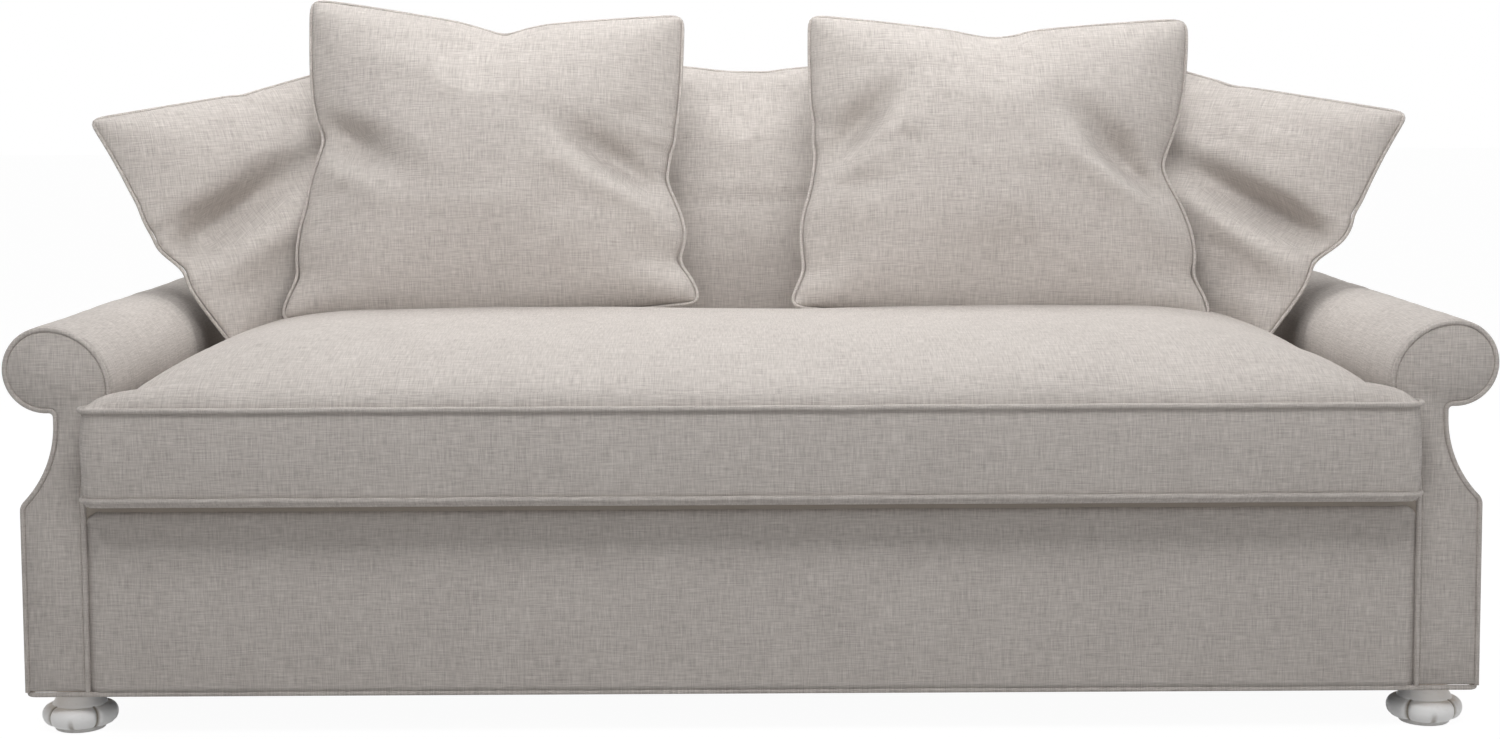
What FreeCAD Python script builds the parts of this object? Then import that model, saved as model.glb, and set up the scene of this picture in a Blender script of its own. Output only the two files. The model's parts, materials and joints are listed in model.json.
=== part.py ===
"""Serpentine arm sofa: a three-seat sofa with rolled arms, one bench cushion and five loose pillows.

Millimetres, +Z up, +X to the sitter's left, the front towards -Y. The origin is on the floor, under the
middle of the sofa's box. Every driving size is a cell of the sheet Sizes; what follows from them is in Places.
"""
import FreeCAD
import Part
import Sketcher

import functools
import math
import os
import re

from FreeCAD import Placement, Rotation, Vector

SIZES = {
    # the whole sofa
    "overall_width": 2134,
    "frame_depth": 1000,
    "nose_overhang": 58,
    "foot_height": 66,
    # the arm's outline, seen from the front
    "arm_height": 595,
    "arm_base_width": 94,
    "base_inset": 20,
    "waist_inset": 71,
    "waist_run": 10,
    "roll_outer_radius": 62,
    "roll_inner_radius": 93,
    "sweep_radius": 160,
    "shoulder_radius": 20,
    "crease_radius": 6,
    # cloth, boards and rails
    "cover_thickness": 5,
    "welt_diameter": 7,
    "board_thickness": 19,
    "rail_thickness": 25,
    "clearance": 0.3,
    # arm frame
    "arm_rail_width": 60,
    "arm_rail_drop": 60,
    "arm_side_rail_height": 70,
    "arm_side_rail_bottom": 190,
    "arm_bolt_diameter": 8,
    "arm_bolt_head": 18,
    "arm_bolt_spread": 480,
    # seat box and deck
    "deck_height": 340,
    "deck_cloth_thickness": 3,
    "deck_pad_thickness": 32,
    "webbing_thickness": 3,
    "strap_width": 60,
    "seat_strap_pitch": 180,
    "brace_height": 100,
    "brace_spread": 620,
    "block_leg": 70,
    "block_height": 80,
    "apron_corner_radius": 22,
    "dust_cover_thickness": 2,
    # back frame
    "seat_depth": 830,
    "back_rise": 495,
    "back_lean": 12,
    "back_side_gap": 2,
    "back_pad_thickness": 25,
    "back_rail_height": 70,
    "upright_head_gap": 3,
    "upright_spread": 590,
    "back_strap_first": 70,
    "back_strap_pitch": 105,
    # feet
    "foot_inset": 63,
    "foot_setback": 58,
    "foot_diameter": 111,
    "foot_petal_diameter": 94,
    "foot_valley_depth": 16,
    "foot_neck_diameter": 65,
    "foot_disc_diameter": 76,
    "foot_disc_height": 9,
    "foot_petal_height": 41,
    "stud_diameter": 8,
    "stud_length": 72,
    "tee_nut_flange": 22,
    "tee_nut_barrel": 11,
    "tee_nut_wall": 1.6,
    # seat cushion
    "cushion_bottom_welt": 353,
    "cushion_boxing": 128,
    "cushion_crown": 75,
    "cushion_flare": 33,
    "cushion_flare_fade": 45,
    "cushion_ear_slope": 12,
    "cushion_corner_radius": 30,
    "cushion_shoulder": 340,
    "cushion_side_bulge": 4,
    "cushion_underside_inset": 18,
    "cushion_jacket": 24,
    # pillows
    "pillow_draw": 24,
    "pillow_foot_draw": 4,
    "pillow_corner_radius": 14,
    "front_pillow_thickness": 190,
    "front_pillow_offset": 282,
    "front_pillow_share": 0.479,
    "front_pillow_bottom_width": 690,
    "front_pillow_top_width": 640,
    "front_pillow_outer_height": 530,
    "front_pillow_inner_height": 508,
    "center_pillow_thickness": 170,
    "center_pillow_width": 640,
    "center_pillow_height": 470,
    "corner_pillow_thickness": 140,
    "corner_pillow_inset": 184,
    "corner_pillow_offset": 152,
    "corner_pillow_yaw": 34,
    "corner_pillow_bottom_width": 360,
    "corner_pillow_ear_reach": 370,
    "corner_pillow_ear_height": 340,
    "corner_pillow_inner_reach": 172,
    "corner_pillow_inner_height": 462,
}

PLACES = {
    "half_width": "overall_width / 2",
    "base_half": "half_width - base_inset",
    "base_inner": "base_half - arm_base_width",
    "roll_x": "half_width - roll_outer_radius",
    "waist_x": "half_width - waist_inset",
    "channel_half": "roll_x - roll_inner_radius",
    "overall_depth": "frame_depth + nose_overhang",
    "front_plane": "nose_overhang - overall_depth / 2",
    "back_plane": "overall_depth / 2",
    "cover_front": "front_plane + welt_diameter",
    "panel_front": "back_plane - cover_thickness",
    "rail_top": "deck_height - deck_cloth_thickness - deck_pad_thickness - webbing_thickness",
    "rail_back": "panel_front - rail_thickness",
    "seat_box_front": "cover_front + rail_thickness",
    "back_line": "front_plane + seat_depth",
    "back_height": "deck_height + back_rise",
    "back_slope_room": "(panel_front - back_line) * cos(back_lean) - back_rise * sin(back_lean)",
    "back_top_radius": "back_slope_room / (1 + cos(back_lean) - sin(back_lean))",
    "upright_head": "back_top_radius + upright_head_gap",
    "upright_offset": "cover_thickness + back_pad_thickness + webbing_thickness",
    "upright_front": "back_line + upright_offset / cos(back_lean)",
    "seat_rail_front": "upright_front - rail_thickness",
    "back_half": "channel_half - back_side_gap",
    "back_inner_half": "back_half - cover_thickness",
    "base_board_top": "foot_height + rail_thickness",
    "foot_x": "base_half - foot_inset",
    "foot_y": "front_plane + foot_setback",
    "foot_middle": "(front_plane + back_plane) / 2",
    "front_pillow_center": "channel_half * front_pillow_share",
    "corner_pillow_center": "channel_half - corner_pillow_inset",
}

doc = FreeCAD.newDocument("SerpentineArmSofa")
sheet = doc.addObject("Spreadsheet::Sheet", "Sizes")
for row, (alias, number) in enumerate(SIZES.items(), start=1):
    sheet.set(f"A{row}", alias)
    sheet.set(f"B{row}", str(number))
    sheet.setAlias(f"B{row}", alias)
doc.recompute()

places = doc.addObject("App::VarSet", "Places")


def qualified(words, inside_places=False):
    """An expression in plain words, with each word's sheet or set put before it."""

    def owner(match):
        word = match.group()
        if word in SIZES:
            return "Sizes." + word
        if word in PLACES and not inside_places:
            return "Places." + word
        return word

    return re.sub(r"[a-z_]+", owner, words)


for name, words in PLACES.items():
    places.addProperty("App::PropertyFloat", name)
    places.setExpression(name, qualified(words, inside_places=True))
doc.recompute()


@functools.lru_cache(maxsize=None)
def size(words):
    """The number that an expression in plain words stands for."""
    return float(sheet.evalExpression(qualified(words)))


def bind(thing, **properties):
    """Tie properties of an object to expressions; x, y and z stand for its place."""
    for name, words in properties.items():
        path = "Placement.Base." + name if name in "xyz" else name
        thing.setExpression(path, qualified(words))
    return thing


NODES = []


def node(thing, name):
    """Give a finished sub-part its own label and put it on the list of pieces to write."""
    thing.Label = name
    NODES.append(thing)
    return thing


def box(name, x, y, z):
    """A board between two planes each way; x, y and z are pairs of expressions."""
    made = doc.addObject("Part::Box", name)
    bind(made, Length=f"({x[1]}) - ({x[0]})", Width=f"({y[1]}) - ({y[0]})", Height=f"({z[1]}) - ({z[0]})")
    return bind(made, x=x[0], y=y[0], z=z[0])


def rod(name, diameter, length, x, y, z, along=Vector(0, 0, 1)):
    """A round bar that starts at a point and runs along an axis."""
    made = doc.addObject("Part::Cylinder", name)
    made.Placement = Placement(Vector(), Rotation(Vector(0, 0, 1), along))
    bind(made, Radius=f"({diameter}) / 2", Height=length)
    return bind(made, x=x, y=y, z=z)


def flat_sided_bar(name, flats, diameter, length, x, y, z, along=Vector(0, 0, 1)):
    """A bar with equal flats from a point along an axis; its diameter is across the corners."""
    made = doc.addObject("Part::Prism", name)
    made.Polygon = flats
    made.Placement = Placement(Vector(), Rotation(Vector(0, 0, 1), along))
    bind(made, Circumradius=f"({diameter}) / 2", Height=length)
    return bind(made, x=x, y=y, z=z)


def group(name, things):
    made = doc.addObject("Part::Compound", name)
    made.Links = things
    return made


def fuse(name, things):
    made = doc.addObject("Part::MultiFuse", name)
    made.Shapes = things
    return made


def cut(name, base, tool):
    made = doc.addObject("Part::Cut", name)
    made.Base = base
    made.Tool = tool
    return made


def mirrored(thing, name, normal=Vector(1, 0, 0), **base):
    """The same piece on the other side of the sofa."""
    made = doc.addObject("Part::Mirroring", name)
    made.Source = thing
    made.Normal = normal
    bind(made, **base)
    return made


def feature(name, shape, **place):
    made = doc.addObject("Part::Feature", name)
    made.Shape = shape
    return bind(made, **place)


def prism(name, edges, direction, length, **place):
    """A closed outline pushed along an axis."""
    outline = feature(name + "_outline", Part.Face(Part.Wire(edges)), **place)
    made = doc.addObject("Part::Extrusion", name)
    made.Base = outline
    made.DirMode = "Custom"
    made.Dir = direction
    made.Solid = True
    return bind(made, LengthFwd=length)


def line(start, end):
    return Part.LineSegment(start, end).toShape()


def arc_about(center, start, end):
    """The short arc from start to end round a centre."""
    radius = (start - center).Length
    middle = (start - center) + (end - center)
    return Part.Arc(start, center + middle.normalize() * radius, end).toShape()


def towards(start, end, distance):
    """The point at a distance from start on the line to end."""
    return start + (end - start).normalize() * distance


CORNER_ANGLE = 30
OUTLINE_ANGLE = 10
SEAM_COUNT = 5
CORNER_COUNT = 2
PILLOW_SHARES = (0.32, 0.64, 0.88, 1)
PETAL_COUNT = 5
PETAL_BELLY_SHARE = 0.42
TURNED_COUNT = 24
ALONG_X = Vector(1, 0, 0)
ALONG_Y = Vector(0, 1, 0)
ALONG_Z = Vector(0, 0, 1)


# The arm's outline

def arm_edges(inset):
    """The arm's outline moved in by an inset, from its outer foot over the roll to its inner foot."""
    bottom = size("foot_height")
    top = size("arm_height")
    deck = size("deck_height")
    base_outer = size("base_half")
    base_inner = size("base_inner")
    waist = size("waist_x")
    roll_x = size("roll_x")
    roll_out = size("roll_outer_radius")
    roll_in = size("roll_inner_radius")
    sweep = size("sweep_radius")
    shoulder = size("shoulder_radius")
    crease = size("crease_radius")

    outer_center = Vector(roll_x, 0, top - roll_out)
    inner_center = Vector(roll_x, 0, top - roll_in)
    crease_x = waist + crease
    crease_drop = math.sqrt((roll_out + crease) ** 2 - (crease_x - roll_x) ** 2)
    crease_center = Vector(crease_x, 0, outer_center.z - crease_drop)
    sweep_center = Vector(waist + sweep, 0, crease_center.z - size("waist_run"))
    shoulder_x = base_outer - shoulder
    shoulder_drop = math.sqrt((sweep + shoulder) ** 2 - (sweep_center.x - shoulder_x) ** 2)
    shoulder_center = Vector(shoulder_x, 0, sweep_center.z - shoulder_drop)
    rise = inner_center.z - deck
    reach = roll_x - base_inner
    inner_sweep = (rise ** 2 + reach ** 2 - roll_in ** 2) / (2 * (roll_in - reach))
    inner_sweep_center = Vector(base_inner - inner_sweep, 0, deck)

    outer_foot = Vector(base_outer - inset, 0, bottom)
    shoulder_start = Vector(base_outer - inset, 0, shoulder_center.z)
    shoulder_end = towards(shoulder_center, sweep_center, shoulder - inset)
    sweep_end = Vector(waist - inset, 0, sweep_center.z)
    crease_start = Vector(waist - inset, 0, crease_center.z)
    crease_end = towards(crease_center, outer_center, crease + inset)
    roll_outermost = outer_center + Vector(roll_out - inset, 0, 0)
    roll_top = Vector(roll_x, 0, top - inset)
    roll_end = towards(inner_center, inner_sweep_center, roll_in - inset)
    inner_sweep_end = Vector(base_inner + inset, 0, deck)
    inner_foot = Vector(base_inner + inset, 0, bottom)
    return [
        line(outer_foot, shoulder_start),
        arc_about(shoulder_center, shoulder_start, shoulder_end),
        arc_about(sweep_center, shoulder_end, sweep_end),
        line(sweep_end, crease_start),
        arc_about(crease_center, crease_start, crease_end),
        arc_about(outer_center, crease_end, roll_outermost),
        arc_about(outer_center, roll_outermost, roll_top),
        arc_about(inner_center, roll_top, roll_end),
        arc_about(inner_sweep_center, roll_end, inner_sweep_end),
        line(inner_sweep_end, inner_foot),
    ]


def closed_arm(inset):
    """The whole arm outline, closed along its foot."""
    edges = arm_edges(inset)
    return edges + [line(edges[-1].Vertexes[-1].Point, edges[0].Vertexes[0].Point)]


def arm_band(inset):
    """The outline of a cover that lies round the arm and is open along its foot."""
    outer = arm_edges(0)
    inner = arm_edges(inset)
    feet = [
        line(outer[0].Vertexes[0].Point, inner[0].Vertexes[0].Point),
        line(outer[-1].Vertexes[-1].Point, inner[-1].Vertexes[-1].Point),
    ]
    return Part.__sortEdges__(outer + inner + feet)


def spaced(edge, count):
    """Points evenly along an edge, without its last one."""
    first, last = edge.FirstParameter, edge.LastParameter
    return [edge.valueAt(first + (last - first) * step / count) for step in range(count)]


def run_points(edges, angle):
    """The corners of a path in short straight runs, without its end; an arc bends by some degrees a run."""
    points = []
    for edge in edges:
        count = 1
        if not isinstance(edge.Curve, Part.Line):
            bend = math.degrees(edge.LastParameter - edge.FirstParameter)
            count = max(1, round(bend / angle))
        points += spaced(edge, count)
    return points


def end_of(edges):
    return edges[-1].valueAt(edges[-1].LastParameter)


def flat_sided_loft(levels, ring=False):
    """A loft through outlines whose sides are parallel from one to the next, so that each side is a plane.

    A ring goes on from its last outline to its first and has no end faces.
    """
    pairs = list(zip(levels, levels[1:]))
    sides = [levels[0], levels[-1]]
    if ring:
        pairs.append((levels[-1], levels[0]))
        sides = []
    for low, high in pairs:
        for index in range(len(low)):
            sides.append([low[index - 1], low[index], high[index], high[index - 1]])
    faces = [Part.Face(Part.makePolygon(corners + corners[:1])) for corners in sides]
    return Part.Solid(Part.Shell(faces))


def six_sided_tube(points, diameter, normal, ring):
    """A cord with six flats along straight runs in one plane, mitred where two runs meet."""
    last = len(points) - 1
    levels = []
    for index, point in enumerate(points):
        before = (point - points[index - 1]).normalize()
        after = (points[(index + 1) % len(points)] - point).normalize()
        if index == 0 and not ring:
            before = after
        if index == last and not ring:
            after = before
        along = (before + after).normalize()
        side = along.cross(normal) * (diameter / 2 / along.dot(after))
        rise = normal * (diameter / 2)
        angles = [math.radians(60 * flat) for flat in range(6)]
        levels.append([point + side * math.cos(angle) + rise * math.sin(angle) for angle in angles])
    return flat_sided_loft(levels, ring)


def make_arms():
    cover = size("cover_thickness")
    welt = size("welt_diameter")
    between_boards = ("cover_front + board_thickness", "panel_front - board_thickness")
    inner_length = f"({between_boards[1]}) - ({between_boards[0]})"

    front_board = prism("arm_front_board", closed_arm(cover), ALONG_Y, "board_thickness", y="cover_front")
    rear_board = prism("arm_rear_board", closed_arm(cover), ALONG_Y, "board_thickness", y=between_boards[1])
    facing_outline = closed_arm(welt + size("clearance"))
    facing = prism("arm_facing", facing_outline, ALONG_Y, "welt_diameter", y="front_plane")
    sleeve = prism("arm_sleeve", arm_band(cover), ALONG_Y, "panel_front - cover_front", y="cover_front")

    top_rail = box(
        "arm_top_rail",
        ("roll_x - arm_rail_width / 2", "roll_x + arm_rail_width / 2"),
        between_boards,
        ("arm_height - arm_rail_drop - rail_thickness", "arm_height - arm_rail_drop"),
    )
    inside = prism("arm_inside", closed_arm(cover), ALONG_Y, inner_length, y=between_boards[0])
    below_roll = box(
        "below_roll",
        ("base_inner - base_half", "base_half + base_half"),
        ("front_plane", "back_plane"),
        ("0", "arm_height - 2 * roll_outer_radius"),
    )
    padding = cut("arm_padding", cut("roll_inside", inside, below_roll), top_rail)

    side_rail = box(
        "arm_side_rail",
        ("base_inner + cover_thickness", "base_inner + cover_thickness + rail_thickness"),
        between_boards,
        ("arm_side_rail_bottom", "arm_side_rail_bottom + arm_side_rail_height"),
    )
    base_board = box(
        "arm_base_board",
        ("base_inner + cover_thickness", "base_half - cover_thickness"),
        between_boards,
        ("foot_height", "base_board_top"),
    )

    bolt_holes = []
    for end in ("-", "+"):
        bolt_holes.append(rod(
            "arm_bolt_hole", "arm_bolt_diameter + 2 * clearance", "3 * rail_thickness",
            "base_inner - 1.5 * rail_thickness", f"foot_middle {end} arm_bolt_spread / 2",
            "arm_side_rail_bottom + arm_side_rail_height / 2", ALONG_X))
    bolt_bores = group("arm_bolt_holes", bolt_holes)
    nut_bores = group("tee_nut_bores", [
        rod("tee_nut_bore", "tee_nut_barrel + 2 * clearance", "2 * rail_thickness", "foot_x", foot_y,
            "foot_height - rail_thickness / 2") for foot_y in ("foot_y", "2 * foot_middle - foot_y")])

    path = arm_edges(welt / 2)
    cord = six_sided_tube(run_points(path, OUTLINE_ANGLE) + [end_of(path)], welt, ALONG_Y, False)
    welt_piece = feature("arm_welt", cord, y="front_plane + welt_diameter / 2")

    pieces = {
        "arm_front_board": front_board,
        "arm_rear_board": rear_board,
        "arm_top_rail": top_rail,
        "arm_side_rail": cut("arm_side_rail_bored", side_rail, bolt_bores),
        "arm_base_board": cut("arm_base_board_bored", base_board, nut_bores),
        "arm_padding": padding,
        "arm_cover": cut("arm_cover_bored", sleeve, bolt_bores),
        "arm_front_cover": facing,
        "arm_welt": welt_piece,
    }
    for name, piece in pieces.items():
        node(piece, "right_" + name)
        node(mirrored(piece, "left_" + name), "left_" + name)
    return bolt_bores


def make_arm_bolts():
    """Bolts with six-sided heads, from inside the seat box through each side rail into the arm's rail."""
    bolts = []
    for end in ("-", "+"):
        y = f"foot_middle {end} arm_bolt_spread / 2"
        z = "arm_side_rail_bottom + arm_side_rail_height / 2"
        head = flat_sided_bar("arm_bolt_head", 6, "arm_bolt_head", "arm_bolt_diameter / 2",
                              "base_inner - rail_thickness - arm_bolt_diameter / 2", y, z, ALONG_X)
        shank = rod("arm_bolt_shank", "arm_bolt_diameter", "2 * rail_thickness + 2 * cover_thickness",
                    "base_inner - rail_thickness", y, z, ALONG_X)
        bolt = fuse("arm_bolt", [head, shank])
        bolts += [bolt, mirrored(bolt, "arm_bolt_left")]
    node(group("arm_bolt_set", bolts), "arm_bolts")


# The seat box and its deck

def make_seat_box(bolt_bores):
    upright_to_upright = ("-base_inner", "base_inner")
    between_sides = ("rail_thickness - base_inner", "base_inner - rail_thickness")
    rail_height = ("foot_height", "rail_top")

    front = box("front_rail_board", upright_to_upright, ("cover_front", "seat_box_front"), rail_height)
    node(front, "front_rail")
    node(box("back_rail_board", upright_to_upright, ("rail_back", "panel_front"), rail_height), "back_rail")
    side = box("side_rail_board", ("base_inner - rail_thickness", "base_inner"),
               ("seat_box_front", "rail_back"), rail_height)
    right_side = cut("side_rail_bored", side, bolt_bores)
    node(right_side, "right_side_rail")
    node(mirrored(right_side, "left_side"), "left_side_rail")
    node(box("seat_rear_rail_board", between_sides, ("seat_rail_front", "upright_front"), rail_height),
         "seat_rear_rail")

    braces = []
    for middle in ("-brace_spread / 2", "brace_spread / 2"):
        braces.append(box(
            "seat_brace",
            (f"{middle} - rail_thickness / 2", f"{middle} + rail_thickness / 2"),
            ("seat_box_front", "seat_rail_front"),
            ("foot_height", "foot_height + brace_height"),
        ))
    node(group("seat_braces", braces), "seat_cross_braces")


def make_corner_blocks():
    """Glued triangles in the four corners of the seat box, below the deck."""
    body = doc.addObject("PartDesign::Body", "corner_block")
    sketch = body.newObject("Sketcher::SketchObject", "corner_block_outline")
    sketch.AttachmentSupport = [(plane_of(body, "XY_Plane"), "")]
    sketch.MapMode = "FlatFace"
    constrained_polygon(sketch, [("0", "0"), ("block_leg", "0"), ("0", "block_leg")])
    pad = body.newObject("PartDesign::Pad", "corner_block_pad")
    pad.Profile = sketch
    bind(pad, Length="block_height")
    bind(body, x="rail_thickness - base_inner", y="seat_box_front", z="rail_top - block_height")
    doc.recompute()
    front_right = mirrored(body, "corner_block_front_right")
    middle = {"Base.y": "(seat_box_front + seat_rail_front) / 2"}
    rear_left = mirrored(body, "corner_block_rear_left", ALONG_Y, **middle)
    rear_right = mirrored(rear_left, "corner_block_rear_right")
    node(group("corner_block_set", [body, front_right, rear_left, rear_right]), "corner_blocks")


def plane_of(body, role):
    """One of a body's own origin planes."""
    for plane in body.Origin.OriginFeatures:
        if plane.Role == role:
            return plane
    raise ValueError(role)


def constrained_polygon(sketch, corners):
    """A closed outline whose corners are tied to expressions, measured from the sketch's origin."""
    points = [Vector(size(across), size(up), 0) for across, up in corners]
    for index, point in enumerate(points):
        following = points[(index + 1) % len(points)]
        sketch.addGeometry(Part.LineSegment(point, following))
    for index, (across, up) in enumerate(corners):
        before = (index - 1) % len(corners)
        sketch.addConstraint(Sketcher.Constraint("Coincident", before, 2, index, 1))
        for kind, words in (("DistanceX", across), ("DistanceY", up)):
            value = size(words)
            if abs(value) < 1e-9:
                axis = -2 if kind == "DistanceX" else -1
                sketch.addConstraint(Sketcher.Constraint("PointOnObject", index, 1, axis))
                continue
            number = sketch.addConstraint(Sketcher.Constraint(kind, -1, 1, index, 1, value))
            sketch.setExpression(f"Constraints[{number}]", qualified(words))


def make_deck():
    deck_width = ("-base_inner + clearance", "base_inner - clearance")
    deck_length = ("cover_front", "upright_front")
    straps = []
    room = size("2 * (base_inner - rail_thickness) - strap_width")
    count = 1 + math.floor(room / size("seat_strap_pitch"))
    for index in range(count):
        middle = f"{index - (count - 1) / 2} * seat_strap_pitch"
        straps.append(box(
            "seat_strap",
            (f"{middle} - strap_width / 2", f"{middle} + strap_width / 2"),
            deck_length,
            ("rail_top", "rail_top + webbing_thickness"),
        ))
    node(group("seat_straps", straps), "seat_webbing")
    pad_bottom = "rail_top + webbing_thickness"
    pad_top = "rail_top + webbing_thickness + deck_pad_thickness"
    node(box("deck_pad_slab", deck_width, deck_length, (pad_bottom, pad_top)), "deck_pad")
    node(box("deck_cloth_sheet", deck_width, deck_length, (pad_top, "deck_height")), "deck_cloth")
    inside_feet = "foot_x - foot_neck_diameter / 2 - clearance"
    node(box("dust_cover_sheet", (f"-({inside_feet})", inside_feet), ("cover_front", "panel_front"),
             ("foot_height - dust_cover_thickness", "foot_height")), "dust_cover")


def make_front_panel():
    """The apron's cover, with its two top corners rounded off beside the arms."""
    half = size("base_inner")
    top = size("deck_height")
    bottom = size("foot_height")
    radius = size("apron_corner_radius")
    right_center = Vector(half - radius, 0, top - radius)
    left_center = Vector(radius - half, 0, top - radius)
    right_start = Vector(half, 0, top - radius)
    right_end = Vector(half - radius, 0, top)
    left_start = Vector(radius - half, 0, top)
    left_end = Vector(-half, 0, top - radius)
    right_foot = Vector(half, 0, bottom)
    left_foot = Vector(-half, 0, bottom)
    edges = [
        line(right_foot, right_start),
        arc_about(right_center, right_start, right_end),
        line(right_end, left_start),
        arc_about(left_center, left_start, left_end),
        line(left_end, left_foot),
        line(left_foot, right_foot),
    ]
    node(prism("apron", edges, ALONG_Y, "welt_diameter", y="front_plane"), "front_panel_cover")


def make_base_welt():
    """The cord along the lower edge of the base: both sides and the front."""
    radius = size("welt_diameter") / 2
    side = size("base_half") - radius
    front = size("front_plane") + radius
    back = size("back_plane")
    height = size("foot_height") - radius
    bend = 4 * radius
    left_back = Vector(-side, back, height)
    left_front = Vector(-side, front + bend, height)
    front_left = Vector(bend - side, front, height)
    front_right = Vector(side - bend, front, height)
    right_front = Vector(side, front + bend, height)
    right_back = Vector(side, back, height)
    edges = [
        line(left_back, left_front),
        arc_about(Vector(bend - side, front + bend, height), left_front, front_left),
        line(front_left, front_right),
        arc_about(Vector(side - bend, front + bend, height), front_right, right_front),
        line(right_front, right_back),
    ]
    points = run_points(edges, CORNER_ANGLE) + [end_of(edges)]
    cord = six_sided_tube(points, size("welt_diameter"), ALONG_Z, False)
    node(feature("base_cord", cord), "base_welt")


# The back

def back_frame_point(offset, height):
    """The point at a height on the inside of the back, moved an offset into the back."""
    lean = math.radians(size("back_lean"))
    y = size("back_line") + offset / math.cos(lean) + (height - size("deck_height")) * math.tan(lean)
    return Vector(0, y, height)


def back_top(offset):
    """The rounded top edge at an offset: where its arc meets the inside and the outside of the back."""
    lean = math.radians(size("back_lean"))
    radius = size("back_top_radius")
    center = Vector(0, size("panel_front") - radius, size("back_height") - radius)
    inside = center + Vector(0, -math.cos(lean), math.sin(lean)) * (radius - offset)
    crest = center + Vector(0, 0, radius - offset)
    outside = center + Vector(0, radius - offset, 0)
    return center, inside, crest, outside


def make_back():
    cover = size("cover_thickness")
    foam = cover + size("back_pad_thickness")
    deck = size("deck_height")
    frame_top = size("back_height - upright_head")
    center, inside, crest, outside = back_top(0)
    _, inner_inside, inner_crest, inner_outside = back_top(cover)
    foot = back_frame_point(0, deck)
    inner_foot = back_frame_point(cover, deck)
    rear_foot = Vector(0, outside.y, deck)
    cover_edges = [
        line(foot, inside),
        arc_about(center, inside, crest),
        arc_about(center, crest, outside),
        line(outside, inner_outside),
        arc_about(center, inner_outside, inner_crest),
        arc_about(center, inner_crest, inner_inside),
        line(inner_inside, inner_foot),
        line(inner_foot, foot),
    ]
    sleeve = prism("back_sleeve", cover_edges, ALONG_X, "2 * back_half", x="-back_half")
    end_edges = [
        line(foot, inside),
        arc_about(center, inside, crest),
        arc_about(center, crest, outside),
        line(outside, rear_foot),
        line(rear_foot, foot),
    ]
    right_end = prism("back_end", end_edges, ALONG_X, "cover_thickness", x="back_inner_half")
    node(fuse("back_case", [sleeve, right_end, mirrored(right_end, "back_end_left")]), "back_cover")

    rear_top = Vector(0, inner_outside.y, frame_top)
    front_top = back_frame_point(foam, frame_top)
    foam_foot = back_frame_point(foam, deck)
    padding_edges = [
        line(inner_foot, inner_inside),
        arc_about(center, inner_inside, inner_crest),
        arc_about(center, inner_crest, inner_outside),
        line(inner_outside, rear_top),
        line(rear_top, front_top),
        line(front_top, foam_foot),
        line(foam_foot, inner_foot),
    ]
    inner_width = "2 * back_inner_half"
    node(prism("back_foam", padding_edges, ALONG_X, inner_width, x="-back_inner_half"), "back_padding")

    node(box("back_top_board", ("-back_inner_half", "back_inner_half"), ("rail_back", "panel_front"),
             ("back_height - upright_head - back_rail_height", "back_height - upright_head")),
         "back_top_rail")


def make_back_uprights():
    """Four plywood uprights with a leaning front edge, notched for the back rail and the top rail."""
    body = doc.addObject("PartDesign::Body", "back_upright")
    sketch = body.newObject("Sketcher::SketchObject", "back_upright_outline")
    sketch.AttachmentSupport = [(plane_of(body, "YZ_Plane"), "")]
    sketch.MapMode = "FlatFace"
    head = "back_height - upright_head"
    front = "upright_front - front_plane"
    notch = "rail_back - front_plane"
    rear = "panel_front - front_plane"
    lean_run = f"({head} - deck_height) * tan(back_lean)"
    constrained_polygon(sketch, [
        (front, "foot_height"),
        (notch, "foot_height"),
        (notch, "rail_top"),
        (rear, "rail_top"),
        (rear, f"{head} - back_rail_height"),
        (notch, f"{head} - back_rail_height"),
        (notch, head),
        (f"{front} + {lean_run}", head),
        (front, "deck_height"),
    ])
    pad = body.newObject("PartDesign::Pad", "back_upright_pad")
    pad.Profile = sketch
    bind(pad, Length="rail_thickness")
    bind(body, x="upright_spread / 2 - rail_thickness", y="front_plane")
    doc.recompute()
    outer = feature("back_upright_outer", body.Shape, x="back_inner_half - rail_thickness", y="front_plane")
    uprights = [body, mirrored(body, "back_upright_left"), outer, mirrored(outer, "back_upright_outer_left")]
    node(group("back_upright_set", uprights), "back_uprights")


def make_back_webbing():
    straps = []
    slope = size("(back_height - upright_head - deck_height) / cos(back_lean)")
    count = math.floor((slope - size("back_strap_first")) / size("back_strap_pitch"))
    for index in range(count):
        strap = doc.addObject("Part::Box", "back_strap")
        strap.Placement = Placement(Vector(), Rotation(Vector(-1, 0, 0), 1))
        along = f"(back_strap_first + {index} * back_strap_pitch)"
        into = "(cover_thickness + back_pad_thickness)"
        bind(strap, Length="2 * back_inner_half", Width="webbing_thickness", Height="strap_width")
        bind(strap, x="-back_inner_half", y=f"back_line + {along} * sin(back_lean) + {into} * cos(back_lean)")
        bind(strap, z=f"deck_height + {along} * cos(back_lean) - {into} * sin(back_lean)")
        strap.setExpression("Placement.Rotation.Angle", qualified("back_lean"))
        straps.append(strap)
    node(group("back_straps", straps), "back_webbing")


def make_outside_back():
    """One flat cover behind the arms and the back."""
    arm = prism("outside_arm", closed_arm(0), ALONG_Y, "cover_thickness", y="panel_front")
    center, _, _, _ = back_top(0)
    middle = box("outside_middle", ("-back_half", "back_half"), ("panel_front", "back_plane"),
                 ("foot_height", f"foot_height + {center.z - size('foot_height')}"))
    bridge = box("outside_bridge", ("-base_inner", "base_inner"), ("panel_front", "back_plane"),
                 ("foot_height", "arm_height - roll_inner_radius"))
    node(fuse("outside_back", [middle, bridge, arm, mirrored(arm, "outside_arm_left")]), "outside_back_cover")


# The feet

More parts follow.
